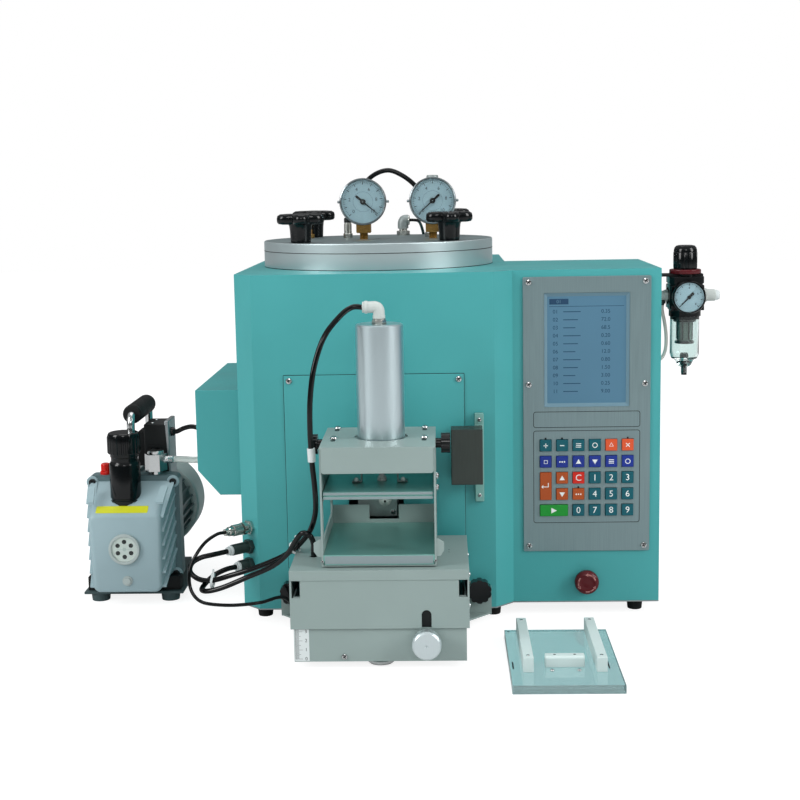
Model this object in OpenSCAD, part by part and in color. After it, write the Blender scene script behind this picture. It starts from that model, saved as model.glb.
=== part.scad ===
// Jewelry wax injector with a vacuum pump and a mould plate.
// A heated wax pot hangs in a sheet-metal cabinet under a bolted lid. An air cylinder
// clamps a rubber mould on a table in front of the spring-loaded wax nozzle.
// Millimetres. +Z up, the operator stands on the -Y side.
// The origin is on the floor under the middle of the whole set, without its hoses.

/* [Cabinet] */
// Width of the main box
cab_w = 321.5; // [300:1:360]
// Depth of the main box
cab_d = 386; // [350:1:430]
// Height of the sheet-metal box
cab_h = 395; // [360:1:430]
// Thickness of the cabinet sheet
sheet = 1.5; // [1:0.1:2.5]
// Width of the 45 degree edges at the front
chamfer = 21.5; // [12:0.5:28]
// Height of the rubber feet
foot_h = 15; // [10:1:25]
// Width of the control tower
tower_w = 171.5; // [160:1:200]
// Depth of the control tower
tower_d = 193; // [150:1:220]
// Width of the front access panel
access_w = 208; // [190:1:240]
// Height of the front access panel
access_h = 228; // [200:1:250]
// Height of the access panel's lower edge above the floor
access_z = 66; // [55:1:80]
// Width of the valve box on the left side
valve_w = 54; // [40:1:70]
// Depth of the valve box
valve_d = 258; // [180:1:280]
// Height of the valve box
valve_h = 127; // [100:1:150]

/* [Wax pot and lid] */
// Radius of the pot's flange and of the lid
lid_r = 144.5; // [130:0.5:150]
// Thickness of the lid
lid_t = 12; // [8:0.5:16]
// Height of the pot's flange above the cabinet
flange_h = 20; // [14:1:28]
// Radius of the wax chamber
pot_r = 104; // [90:1:108]
// Depth of the wax chamber under the lid
pot_depth = 215; // [150:1:240]
// Radius of the circle that the lid studs stand on
stud_circle = 127; // [120:1:130]
// Radius of a lid stud
stud_r = 4; // [3:0.5:5]
// Length of the lid knob's hub
knob_hub_h = 22; // [16:1:30]
// Span of the star head of a lid knob
knob_span = 57; // [45:1:65]
// Radius of the two gauges on the lid
gauge_r = 29.5; // [25:0.5:32]
// Distance between the two gauges
gauge_pitch = 87.5; // [76:0.5:100]

/* [Control panel] */
// Width of the control panel
panel_w = 147.5; // [140:0.5:156]
// Height of the control panel
panel_h = 324; // [310:1:340]
// Thickness of the control panel
panel_t = 2.2; // [1.5:0.1:3]
// Width of the display window
display_w = 98.5; // [80:0.5:110]
// Height of the display window
display_h = 132.5; // [110:0.5:140]
// Distance from key to key across
key_pitch_x = 19.1; // [18:0.1:20]
// Distance from key to key upwards
key_pitch_z = 19.4; // [18:0.1:20]
// Side of a square key cap
key_side = 13.4; // [12:0.1:15]
// How far a key goes in
key_travel = 1.5; // [0.5:0.1:2]
// Radius of the emergency stop's mushroom
stop_r = 14.4; // [12:0.1:20]

/* [Clamp] */
// How far the clamp stands to the right of the cabinet's middle
clamp_x = 9.75; // [0:0.25:14]
// Width of the clamp's head and table
head_w = 118; // [100:1:124]
// Thickness of the clamp's sheet metal
clamp_sheet = 2; // [1.5:0.1:3]
// Height of the head's top above the floor
head_z = 239; // [225:1:260]
// Depth of the head
head_d = 123; // [100:1:126]
// Height of the head's front flange
head_flange = 28; // [24:1:36]
// Height of the table's top above the floor
table_z = 123; // [121:0.5:130]
// Thickness of the table plate
table_t = 11; // [8:0.5:11.5]
// Depth of the table plate
table_d = 144; // [130:1:146]
// Thickness of the press plate
press_t = 8; // [6:0.5:12]
// Height of the press plate's lower face above the floor when it is up
press_z = 182.5; // [170:0.5:184]
// Stroke of the press plate
press_stroke = 50; // [30:1:54]
// Radius of the air cylinder
cylinder_r = 26; // [20:0.5:28]
// Length of the air cylinder above the head
cylinder_h = 123; // [100:1:140]
// Radius of the piston rod
rod_r = 2.5; // [2:0.1:4]
// Width of the lift cover
lift_w = 190; // [176:1:200]
// Depth of the lift cover
lift_d = 146; // [140:1:160]
// Height of the lift cover's top above the floor
lift_z = 109; // [104:0.5:109.5]
// Height of the lift cover's front
lift_h = 64; // [50:1:70]
// How far the table can be lowered
lift_travel = 25; // [15:1:25]
// How far the clamp can slide back to the nozzle
carriage_travel = 8; // [4:0.5:9]
// Height of the clamp's lower edge above the floor
housing_z = 8.5; // [8:0.5:14]
// Radius of the height lock knob
height_knob_r = 15.5; // [12:0.5:18]
// Radius of the lifting wheel
wheel_r = 14.5; // [12:0.5:18]
// Radius of the fluted mounting knobs
mount_knob_r = 14; // [11:0.5:14.5]

/* [Nozzle] */
// Height of the nozzle above the table
nozzle_above_table = 23.5; // [18:0.5:26]
// Radius of the nozzle tip at its root
nozzle_r = 7.5; // [5:0.5:9]
// How far the nozzle tip is pushed in to open
nozzle_travel = 4; // [2:0.5:6]

/* [Regulator] */
// Width of the regulator's body
regulator_w = 40; // [36:1:44]
// Height of the regulator's body
regulator_h = 47; // [40:1:52]
// Radius of the regulator's gauge
regulator_gauge_r = 19.2; // [16:0.2:20]
// Radius of the regulator's bowl
bowl_r = 17; // [14:0.5:18]

/* [Vacuum pump] */
// How far the pump's middle stands to the left of the cabinet's middle
pump_x = -309; // [-330:1:-300]
// Width of the pump's flange
pump_flange_w = 115; // [105:1:120]
// Height of the pump's flange
pump_flange_h = 134; // [120:1:140]
// Width of the oil case's front face at its top
oil_case_w = 86; // [80:1:92]
// Height of the oil case's front face
oil_case_h = 100; // [90:1:110]
// Depth of the oil case in front of the flange
oil_case_d = 48; // [40:1:56]
// Radius of the motor
motor_r = 54; // [46:1:56]
// Length of the motor
motor_l = 160; // [130:5:180]
// Radius of the handle's grip
grip_r = 12; // [10:0.5:14]
// Length of the handle's grip
grip_l = 90; // [80:1:100]

/* [Mould plate] */
// Width of the clear mould plate
plate_w = 114.5; // [100:0.5:130]
// Depth of the mould plate
plate_d = 179; // [160:1:200]
// Thickness of the mould plate
plate_t = 9.3; // [6:0.1:12]

/* [Hidden] */
$fn = 64;
eps = 0.01;

// Clearances
seat_gap = 0.2;
thread_gap = 0.08;
run_gap = 0.06;

// Cabinet
cab_top = foot_h + cab_h;
half_cab = cab_w / 2;
tower_y = chamfer;
tower_x = half_cab + tower_w / 2;
tower_side = half_cab + tower_w;
tower_back = tower_y + tower_d;
valve_z = 145;
valve_y = 42;
valve_cut = [26, 30];
chamfer_mid = [-half_cab + chamfer / 2, chamfer / 2];
foot_r = 10;
main_foot_inset = [24, 30];
tower_foot_inset = [25, 25];
screw_head_r = 3.2;
screw_head_h = 2;
screw_inset = 6.2;
access_screw_z = [access_z + 21, access_z + access_h - screw_inset];
socket_heights = [113, 90, 69];

// Pot and lid
pot_y = cab_d / 2;
flange_top = cab_top + flange_h;
lid_top = flange_top + lid_t;
tank_wall = 9;
jacket_r = pot_r + tank_wall;
tank_foot = flange_top - pot_depth - 10;
gasket_r = [pot_r + 4, pot_r + 10];
gasket_h = 3;
stud_above = 26;
stud_angles = [225, 315, 135, 45];
knob_hub_r = 13;
knob_arm_h = 13;
knob_bore = stud_r + thread_gap;
lid_lift = 80;
gauge_y = pot_y - 18;
gauge_z = lid_top + 47;
gauge_depth = 24;
gauge_rim = 2.5;
gauge_recess = 5;
needle_t = 0.6;
needle_pin_r = 1;
gauge_middle = 26;
gauge_x = [gauge_middle - gauge_pitch / 2, gauge_middle + gauge_pitch / 2];
lid_offset = 0;
elbow_spot = [29, pot_y + 110];
hose_spots = [[-48, pot_y + 40], [68, pot_y + 40]];
brass_spot = [-92, pot_y + 60];
thin_hose_d = 4;
lid_hose_d = 6;
thin_exit = [58, pot_y + 167];

// Control panel
panel_z = 78;
panel_screw_x = panel_w / 2 - 6.5;
panel_screw_rows = [6.5, 199, panel_h - 6];
display_z = panel_z + panel_h - 19 - display_h;
key_z = panel_z + 49.5;
key_depth = 6;
key_flange = 1.1;
key_gap = 0.2;
stop_z = 41.4;
stop_travel = 3;
stop_stem_r = 8;
stop_h = 14;

// Clamp
half_head = head_w / 2;
frame_half = half_head + clamp_sheet;
front_y = -168;
lift_y = [front_y, front_y + lift_d];
head_y = [-160, -160 + head_d];
table_y = [-158, -158 + table_d];
wall_y = table_y[1];
table_foot = table_z - table_t;
cylinder_y = -95;
cylinder_side = 2;
cylinder_x = clamp_x + cylinder_side;
cylinder_hole_r = cylinder_r + 3;
wall_top = table_z + 21;
notch_half = 17;
notch_z = table_z + 4;
lug = [8, 19];
side_screw_spots = [[-80, 178.6], [-80, 191.6]];
head_screw_spots = [[-49, -107], [-49, -44], [49, -107], [49, -44]];
frame_knob_spot = [-98, head_z - 7.5];
frame_knob_r = 11;
frame_stud_r = 3;
half_lift = lift_w / 2;
rail_h = 1.5;
rail_half = 40;
cover_flange = 11;
cover_notch = [9, 19];
slot_w = 10.4;
slot_top = 65;
height_spot = [49.5, 31.3];
height_stud_r = 4;
half_housing = half_lift - clamp_sheet - 1.2;
housing_y = [front_y + clamp_sheet + 1.5, -2];
housing_top = lift_z - clamp_sheet - lift_travel - 2;
ear_w = 32;
ear_top = 48;
gusset_d = 34;
mount_x = half_housing + 17.7;
mount_z = 40;
mount_stud_r = 3;
wheel_y = front_y + 20;
wheel_z = 1.6;
wheel_h = 6;
screw_r = 4;
nut_r = 8;

// Nozzle
nozzle_z = table_z + nozzle_above_table;
nozzle_x = clamp_x + 1;
nozzle_tip_y = -8;
nozzle_root_y = 6;
window_x = [-31.5, 32.5];
window_z = [122, 172];
block_x = [-21, 25];
block_z = [126, 168];
block_y = [2, 52];
feed_r = 6;

// Dark block on its rail at the right of the nozzle
side_rail_x = [half_cab - 45.25, half_cab - 34.75];
side_rail_z = [head_z - 94.5, head_z + 9.5];
side_rail_t = 6;
side_block_x = [half_cab - 72.75, half_cab - 36.75];
side_block_z = [head_z - 69, head_z - 5];
side_block_d = 26;

// Regulator
regulator_x = tower_side + 33.25;
regulator_y = 60;
regulator_top = cab_top - 12;
regulator_foot = regulator_top - regulator_h;
bracket_t = 3;
ring_r = 18.4;
regulator_knob_r = 14;
regulator_knob_h = 28;
regulator_gauge_z = regulator_top - 23;
regulator_gauge_depth = 12;
fitting_z = regulator_top - 23;
bowl_h = 50;
right_fitting_l = 20;

// Pump
pump_flange_y = 110;
pump_flange_t = 22;
pump_z = 22;
oil_case_z = 19;
oil_case_y = pump_flange_y - oil_case_d;
motor_y = pump_flange_y + pump_flange_t;
motor_z = 92;
motor_bore = 14;
fan_cover_l = 62;
fin_count = 28;
fin_h = 4;
fin_t = 2.2;
base_t = 3;
base_z = 10;
base_w = 124;
base_front = pump_flange_y - 23;
base_back_half = 44;
pump_foot_r = 12;
filter_r = 19;
filter_x = -2.5;
filter_y = oil_case_y + 22;
filter_seat = oil_case_z + oil_case_h + 2;
filter_cap_z = 188;
filter_cap_h = 26;
handle_z = 231;
handle_rod_r = 5;
handle_y = [112, 222];
inlet_x = 28;
inlet_y = pump_flange_y + 10;
switch_x = [11, 37];
switch_z = [motor_z + 48, motor_z + 124];
switch_d = 47;
switch_plate_t = 6;
sight_r = 19;
sight_x = -3;
sight_z = 74;

// Mould plate
plate_x = 145.5;
plate_y = -243;
bar_w = 11;
bar_h = 16;
bar_x = [13, 89];
bar_y = [38, plate_d - 6];
roller = [41, 13, 12];
roller_spot = [37, 53];

// Loom
hose_d = 6;
cable_d = 4;
lead_d = 6;
vacuum_hose_d = 8;
elbow_port = [cylinder_x - 18, cylinder_y, head_z + cylinder_h + 18];
clamp_hose_route = [elbow_port, [-17, -95, 380], [-29, -101, 372], [-46, -113, 351],
    [-57, -120, 320], [-62, -123, 286], [-63, -124, 251], [-62, -123, 218], [-60, -118, 185],
    [-61, -109, 158], [-69, -98, 134], [-85, -85, 113], [-105, -71, 98], [-136, -52, 81],
    [-164, -42, 70], [-188, -40, 63], [-204, -38, 64], [-214, -36, 72], [-212, -35, 82],
    [-202, -33, 88], [-190, -28.8, 90], [-182, -21.3, 90], [-174.1, -13.4, 90]];
table_hose_route = [[-166, -5.25, 69], [-176, -15.25, 69], [-188, -25, 65], [-197, -34, 58],
    [-200, -44, 53], [-190, -52, 54], [-172, -57, 60], [-146, -62, 72], [-116, -76, 88],
    [-96, -91, 106], [-84, -103, 125], [-76, -109, 135], [-68, -110, 133], [-64, -109, 124],
    [-64, -109, 112], [-64, -109, 78]];
cable_route = [[-176.1, -15.4, 113], [-184, -23.3, 113], [-196, -33, 106], [-206, -41, 93],
    [-212, -46, 79], [-213, -50, 64], [-209, -54, 52], [-200, -57, 43.5], [-186, -58, 40],
    [-160, -62, 40], [-130, -62, 43], [-112, -46, 44], [-103, -32, 37], [-98, -24, 26],
    [-94, -15, 20], [-91, -12, 19], [-87.1, -12, 19]];
cable_end = cable_route[len(cable_route) - 1];
pump_lead_route = [[-265.95, 150, 204], [-259, 150, 204], [-250, 150, 208], [-240, 150, 210],
    [-230, 150, 208], [-222, 150, 206], [-214.8, 150, 206]];
vacuum_route = [[-257.95, 120, 174], [-249, 120, 174], [-236, 120, 173], [-224, 120, 173],
    [-214.8, 120, 173]];
bleed_route = [[tower_side + 6.75, regulator_y, fitting_z - 11.1],
    [tower_side + 7, regulator_y, fitting_z - 18], [tower_side + 9.5, regulator_y, fitting_z - 30],
    [tower_side + 11.5, regulator_y, fitting_z - 44], [tower_side + 11.75, regulator_y, fitting_z - 58],
    [tower_side + 10, regulator_y, fitting_z - 68], [tower_side + 6.5, regulator_y, fitting_z - 74],
    [tower_side + 3.5, regulator_y, fitting_z - 75.3], [tower_side + 0.1, regulator_y, fitting_z - 75.3]];
lid_hose_route = [[-41, pot_y + 40, lid_top + 26.05], [-41, pot_y + 40, lid_top + 34],
    [-34, pot_y + 40, lid_top + 46], [-25, pot_y + 40, lid_top + 61], [-8, pot_y + 40, lid_top + 79],
    [12, pot_y + 40, lid_top + 86], [31, pot_y + 40, lid_top + 79],
    [48, pot_y + 40, lid_top + 65], [61, pot_y + 40, lid_top + 46], [65, pot_y + 40, lid_top + 34],
    [65, pot_y + 40, lid_top + 26.05]];
thin_hose_route = [[38.05, pot_y + 110, lid_top + 20], [43, pot_y + 110, lid_top + 20],
    [50, pot_y + 119, lid_top + 18], [54, pot_y + 140, lid_top + 8],
    [57, pot_y + 156, lid_top - 8], [58, pot_y + 165, lid_top - 20],
    [58, pot_y + 167, lid_top - 30], [58, pot_y + 167, lid_top - 70],
    [58, pot_y + 167, lid_top - 115]];

// The whole set's box without its hoses gives the origin
set_x = [pump_x - base_w / 2, regulator_x + regulator_w / 2 + right_fitting_l];
set_y = [plate_y, cab_d];
origin = [(set_x[0] + set_x[1]) / 2, (set_y[0] + set_y[1]) / 2];

// ---- Helpers ----

function unit(v) = v / norm(v);
function tangent(p, i) = unit(p[min(i + 1, len(p) - 1)] - p[max(i - 1, 0)]);
function normals(p, i, last) = i == len(p) ? [] :
    let (t = tangent(p, i), n = unit(last - (last * t) * t)) concat([n], normals(p, i + 1, n));

// Round hose or cable swept along its route
module hose(route, d, sides = 8, side_hint = [0, 1, 0.1]) {
    count = len(route);
    normal = normals(route, 0, side_hint);
    points = [for (i = [0:count - 1], s = [0:sides - 1])
        let (t = tangent(route, i), a = 360 * s / sides)
        route[i] + d / 2 * (cos(a) * normal[i] + sin(a) * cross(t, normal[i]))];
    walls = [for (i = [0:count - 2], s = [0:sides - 1])
        let (a = i * sides + s, b = i * sides + (s + 1) % sides)
        [a, a + sides, b + sides, b]];
    start = [for (s = [0:sides - 1]) s];
    end = [for (s = [0:sides - 1]) count * sides - 1 - s];
    polyhedron(points, concat(walls, [start, end]), convexity = 6);
}

// Cylinder along Y from y0 to y1
module y_rod(r, y0, y1) {
    translate([0, y0, 0])
        rotate([-90, 0, 0])
            cylinder(r = r, h = y1 - y0);
}

// Cylinder along X from x0 to x1
module x_rod(r, x0, x1) {
    translate([x0, 0, 0])
        rotate([0, 90, 0])
            cylinder(r = r, h = x1 - x0);
}

// Box from one corner to the opposite corner
module block(low, high) {
    translate(low)
        cube(high - low);
}

// Upright plate with its outline in X and Z, from y0 to y1
module xz_plate(y0, y1) {
    translate([0, y1, 0])
        rotate([90, 0, 0])
            linear_extrude(y1 - y0)
                children();
}

// Upright plate with its outline in Y and Z, from x0 to x1
module yz_plate(x0, x1) {
    translate([x0, 0, 0])
        rotate([90, 0, 90])
            linear_extrude(x1 - x0)
                children();
}

// Rectangle from corner to corner with rounded corners
module rounded(low, high, r) {
    w = high[0] - low[0];
    h = high[1] - low[1];
    translate(low) {
        translate([r, 0])
            square([w - 2 * r, h]);
        translate([0, r])
            square([w, h - 2 * r]);
        for (x = [r, w - r], y = [r, h - r])
            translate([x, y])
                circle(r, $fn = 24);
    }
}

// Fluted round grip along Z
module fluted(r, h, flutes, depth) {
    difference() {
        cylinder(r = r, h = h);
        for (i = [0:flutes - 1])
            rotate(360 * i / flutes)
                translate([r + depth, 0, -1])
                    cylinder(r = 2 * depth, h = h + 2, $fn = 16);
    }
}

// Plan of the cabinet, drawn in by the inset
module cabinet_plan(inset, back = 0) {
    k = inset * tan(22.5);
    polygon([[-half_cab + inset, chamfer + k], [-half_cab + chamfer + k, inset],
        [half_cab - chamfer - k, inset], [half_cab - k, tower_y + inset],
        [tower_side - inset, tower_y + inset], [tower_side - inset, tower_back - inset],
        [half_cab - inset, tower_back - inset], [half_cab - inset, cab_d - back],
        [-half_cab + inset, cab_d - back]]);
}

// Places a piece square on the left front edge of the cabinet, pointing outwards
module on_chamfer(z) {
    translate([chamfer_mid[0], chamfer_mid[1], z])
        rotate([90, 0, -45])
            children();
}

// ---- Cabinet ----

module cabinet_shell() {
    color("darkcyan")
        difference() {
            translate([0, 0, foot_h + sheet])
                linear_extrude(cab_h - sheet)
                    cabinet_plan(0);
            translate([0, 0, foot_h])
                linear_extrude(cab_h - sheet)
                    cabinet_plan(sheet, -1);
            translate([lid_offset, pot_y, cab_top - 10])
                cylinder(r = jacket_r + 1, h = 20);
            translate([thin_exit[0], thin_exit[1], cab_top - 10])
                cylinder(r = thin_hose_d / 2 + 0.9, h = 20);
            block([-access_w / 2 + 15, -1, access_z + 15],
                [access_w / 2 - 15, sheet + 1, access_z + access_h - 15]);
            block([tower_x - panel_w / 2 + 14, tower_y - 1, panel_z + 14],
                [tower_x + panel_w / 2 - 14, tower_y + sheet + 1, panel_z + panel_h - 14]);
            translate([tower_x, 0, stop_z])
                y_rod(stop_stem_r + run_gap, tower_y - 1, tower_y + sheet + 1);
            for (s = [-1, 1])
                translate([clamp_x + s * mount_x, 0, mount_z])
                    y_rod(mount_stud_r + run_gap, -1, sheet + 1);
            block([-half_cab - 1, valve_y + 30, valve_z + 40],
                [-half_cab + sheet + 1, valve_y + 90, valve_z + 90]);
        }
}

module vent_slots(width, rows, pitch, height) {
    for (i = [0:rows - 1])
        translate([-width / 2, 0, i * pitch])
            cube([width, 10, height]);
}

module cabinet_chassis() {
    color("silver")
        difference() {
            union() {
                translate([0, 0, foot_h])
                    linear_extrude(sheet)
                        cabinet_plan(0);
                block([-half_cab + sheet + seat_gap, cab_d - sheet, foot_h],
                    [half_cab - sheet - seat_gap, cab_d, cab_top - sheet - seat_gap]);
            }
            for (x = [-80, 80])
                translate([x, cab_d - 5, 80])
                    vent_slots(90, 8, 12, 4);
            translate([0, 0, foot_h - 1])
                for (p = foot_spots())
                    translate(p)
                        cylinder(r = 2, h = sheet + 2);
        }
}

function foot_spots() = [
    [-half_cab + main_foot_inset[0], main_foot_inset[1]],
    [half_cab - main_foot_inset[0], main_foot_inset[1]],
    [-half_cab + main_foot_inset[0], cab_d - main_foot_inset[1]],
    [half_cab - main_foot_inset[0], cab_d - main_foot_inset[1]],
    [tower_side - tower_foot_inset[0], tower_y + tower_foot_inset[1]],
    [tower_side - tower_foot_inset[0], tower_back - tower_foot_inset[1]]];

module cabinet_feet() {
    color("black")
        for (p = foot_spots())
            translate(p)
                rotate_extrude()
                    polygon([[0, 0], [foot_r - 1.5, 0], [foot_r, foot_h], [1.9, foot_h],
                        [1.9, foot_h + sheet], [0, foot_h + sheet]]);
}

module access_panel() {
    color("darkcyan")
        difference() {
            xz_plate(-sheet, 0)
                rounded([-access_w / 2, access_z], [access_w / 2, access_z + access_h], 1);
            block([window_x[0], -sheet - 1, window_z[0]], [window_x[1], 1, window_z[1]]);
        }
}

module valve_box() {
    left = -half_cab - valve_w;
    color("darkcyan")
        difference() {
            translate([0, valve_y + valve_d, 0])
                xz_outline(left, 0, valve_d);
            translate([0, valve_y + valve_d - sheet, 0])
                xz_outline(left, sheet, valve_d - 2 * sheet);
        }
}

// Low-cornered outline of the valve box, drawn in by the inset
module xz_outline(left, inset, depth) {
    k = inset * 0.45;
    rotate([90, 0, 0])
        linear_extrude(depth)
            polygon([[left + inset, valve_z + valve_h - inset],
                [left + inset, valve_z + valve_cut[1] + k],
                [left + valve_cut[0] + k, valve_z + inset], [-half_cab - inset, valve_z + inset],
                [-half_cab - inset, valve_z + valve_h - inset]]);
}

module screw_head() {
    rotate([90, 0, 0])
        cylinder(r1 = screw_head_r, r2 = screw_head_r - 1, h = screw_head_h, $fn = 24);
}

module panel_screws() {
    color("silver") {
        for (x = [-1, 1], z = access_screw_z)
            translate([x * (access_w / 2 - screw_inset), -sheet, z])
                screw_head();
        for (x = [-1, 1], z = panel_screw_rows)
            translate([tower_x + x * panel_screw_x, tower_y - panel_t, panel_z + z])
                screw_head();
    }
}

// ---- Control tower ----

function key_x(i) = tower_x + (i - 2.5) * key_pitch_x;
function key_row(j) = key_z + j * key_pitch_z;

// Columns of the square keys in each row, from the top row down
key_columns = [[0, 1, 2, 3, 4, 5], [0, 1, 2, 3, 4, 5], [1, 2, 3, 4, 5], [1, 2, 3, 4, 5],
    [2, 3, 4, 5]];

// Outline of one key, from its column, its row and its span in columns and rows
module key_face(i, j, across, up, grow) {
    w = key_side + (across - 1) * key_pitch_x + 2 * grow;
    h = key_side + (up - 1) * key_pitch_z + 2 * grow;
    translate([key_x(i) - key_side / 2 - grow, key_row(j) - key_side / 2 - grow])
        square([w, h]);
}

module key(i, j, across = 1, up = 1) {
    front = tower_y - panel_t - key_travel - 0.7;
    xz_plate(front, tower_y + key_depth)
        key_face(i, j, across, up, 0);
    xz_plate(tower_y + 0.1, tower_y + 0.1 + key_flange)
        key_face(i, j, across, up, 1);
}

module mode_keys() {
    color("teal")
        for (j = [0, 1], i = key_columns[j])
            key(i, 4 - j);
}

module number_keys() {
    color("slategray") {
        for (j = [2, 3, 4], i = key_columns[j])
            key(i, 4 - j);
        key(0, 1, 1, 2);
    }
}

module start_key() {
    color("seagreen")
        key(0, 0, 2, 1);
}

module control_panel() {
    color("lightgray")
        difference() {
            xz_plate(tower_y - panel_t, tower_y)
                translate([tower_x, panel_z])
                    rounded([-panel_w / 2, 0], [panel_w / 2, panel_h], 2);
            block([tower_x - display_w / 2, 0, display_z],
                [tower_x + display_w / 2, tower_y + 1, display_z + display_h]);
            xz_plate(tower_y - panel_t - 1, tower_y + 1) {
                for (j = [0:4], i = key_columns[j])
                    key_face(i, 4 - j, 1, 1, key_gap);
                key_face(0, 1, 1, 2, key_gap);
                key_face(0, 0, 2, 1, key_gap);
            }
        }
}

module display_screen() {
    color("royalblue")
        block([tower_x - display_w / 2, tower_y - panel_t + 0.4, display_z],
            [tower_x + display_w / 2, tower_y + 4, display_z + display_h]);
}

module emergency_stop() {
    color("firebrick")
        translate([tower_x, tower_y, stop_z])
            rotate([90, 0, 0]) {
                translate([0, 0, stop_travel + 0.4])
                    rotate_extrude()
                        polygon([[0, 0], [stop_r - 2, 0], [stop_r, 3], [stop_r, stop_h - 5],
                            [stop_r - 2.4, stop_h - 1.6], [stop_r - 6, stop_h - 0.3], [0, stop_h]]);
                translate([0, 0, -18])
                    cylinder(r = stop_stem_r, h = 18 + stop_travel + 1);
            }
}

// ---- Pot and lid ----

module wax_tank() {
    bottom = flange_top - pot_depth;
    color("gainsboro")
        translate([lid_offset, pot_y, 0])
            difference() {
                rotate_extrude($fn = 96)
                    polygon([[0, tank_foot - 14], [feed_r + 6, tank_foot - 14],
                        [feed_r + 6, tank_foot - 4], [jacket_r - 14, tank_foot - 4],
                        [jacket_r, tank_foot + 10], [jacket_r, cab_top], [lid_r, cab_top],
                        [lid_r, flange_top], [gasket_r[1], flange_top],
                        [gasket_r[1], flange_top - gasket_h], [gasket_r[0], flange_top - gasket_h],
                        [gasket_r[0], flange_top], [pot_r, flange_top], [pot_r, bottom + 12],
                        [pot_r - 12, bottom], [feed_r, bottom - 4], [0, bottom - 4]]);
                translate([0, 0, tank_foot - 4])
                    cylinder(r = feed_r - 2, h = 20);
                for (a = stud_angles)
                    rotate(a)
                        translate([stud_circle, 0, flange_top - 12])
                            cylinder(r = stud_r, h = 20);
            }
}

module lid_gasket() {
    color("white")
        translate([lid_offset, pot_y, flange_top - gasket_h])
            difference() {
                cylinder(r = gasket_r[1], h = gasket_h, $fn = 96);
                translate([0, 0, -1])
                    cylinder(r = gasket_r[0], h = gasket_h + 2, $fn = 96);
            }
}

module lid_studs() {
    color("silver")
        for (a = stud_angles)
            translate([lid_offset, pot_y, flange_top - 12])
                rotate(a)
                    translate([stud_circle, 0, 0])
                        cylinder(r = stud_r, h = 12 + lid_t + stud_above);
}

module tank_lid() {
    color("gainsboro")
        translate([lid_offset, pot_y, flange_top])
            difference() {
                rotate_extrude($fn = 96)
                    polygon([[0, 0], [lid_r, 0], [lid_r, lid_t - 0.8], [lid_r - 0.8, lid_t],
                        [0, lid_t]]);
                for (a = stud_angles)
                    rotate(a)
                        translate([stud_circle, 0, -1])
                            cylinder(r = stud_r + 0.5, h = lid_t + 2);
            }
}

// One arm of a lid knob's star head
module knob_arm() {
    reach = knob_span / 2 - 6.5;
    translate([0, -5.5, 0])
        cube([reach, 11, knob_arm_h]);
    translate([reach, 0, 0])
        cylinder(r = 6.5, h = knob_arm_h, $fn = 32);
}

module lid_knob(a) {
    color("black")
        translate([lid_offset, pot_y, lid_top])
            rotate(a)
                translate([stud_circle, 0, 0])
                    difference() {
                        union() {
                            cylinder(r1 = knob_hub_r - 1, r2 = knob_hub_r, h = knob_hub_h);
                            translate([0, 0, knob_hub_h])
                                cylinder(r = knob_hub_r + 2, h = knob_arm_h);
                            translate([0, 0, knob_hub_h])
                                for (i = [0:3])
                                    rotate(90 * i + 20)
                                        knob_arm();
                        }
                        translate([0, 0, -1])
                            cylinder(r = knob_bore, h = stud_above + 3);
                    }
}

// Round gauge that faces -Y, with its stem down to the lid
module gauge(x, boss) {
    translate([x, gauge_y, gauge_z])
        rotate([90, 0, 0])
            rotate_extrude()
                polygon([[0, -gauge_depth + 2], [gauge_r - 8, -gauge_depth + 2],
                    [gauge_r - 4, -gauge_depth + 6], [gauge_r - 1.5, -gauge_depth + 8],
                    [gauge_r - 1.5, -4], [gauge_r, -3], [gauge_r, 2],
                    [gauge_r - gauge_rim, 2], [gauge_r - gauge_rim, 2 - gauge_recess],
                    [needle_pin_r, 2 - gauge_recess], [needle_pin_r, -0.5], [0, -0.5]]);
    translate([x, gauge_y + 11, lid_top]) {
        cylinder(r = 5, h = 8, $fn = 32);
        translate([0, 0, 6])
            cylinder(r = 11, h = 10, $fn = 6);
        cylinder(r = 6, h = 24, $fn = 32);
    }
    if (boss)
        translate([x, gauge_y + 10, gauge_z + gauge_r - 4])
            cylinder(r = 7.5, h = 6.5, $fn = 32);
    for (s = [-1, 1])
        translate([x + s * gauge_r - (s < 0 ? 3 : 1), gauge_y + 8, gauge_z])
            rotate([0, 90, 0])
                cylinder(r = 1.8, h = 4, $fn = 16);
}

module vacuum_gauge() {
    color("silver")
        gauge(gauge_x[0], false);
}

module pressure_gauge() {
    color("silver")
        gauge(gauge_x[1], true);
}

// Needle turned by the angle from straight up, clockwise as seen from the front
module needle(x, y, z, r, angle) {
    translate([x, y, z])
        rotate([90, angle, 0])
            linear_extrude(needle_t)
                difference() {
                    union() {
                        circle(r * 0.13, $fn = 32);
                        polygon([[-1.1, -r * 0.42], [1.1, -r * 0.42], [0.8, 0], [0.25, r * 0.86],
                            [-0.25, r * 0.86], [-0.8, 0]]);
                    }
                    circle(needle_pin_r + run_gap, $fn = 32);
                }
}

module vacuum_needle() {
    color("black")
        needle(gauge_x[0], gauge_y + 0.4 + needle_t, gauge_z, gauge_r - gauge_rim, 130);
}

module pressure_needle() {
    color("black")
        needle(gauge_x[1], gauge_y + 0.4 + needle_t, gauge_z, gauge_r - gauge_rim, 228);
}

// Push-in elbow on the lid, its mouth turned by the angle
module lid_elbow(spot, mouth, r, h) {
    translate([spot[0], spot[1], lid_top]) {
        cylinder(r = r, h = 6, $fn = 6);
        cylinder(r = r - 1.5, h = h);
        translate([0, 0, h])
            rotate([0, 0, mouth])
                rotate([0, 90, 0])
                    cylinder(r = r - 1.5, h = r);
        translate([0, 0, h])
            sphere(r = r - 1.5, $fn = 32);
    }
}

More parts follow.
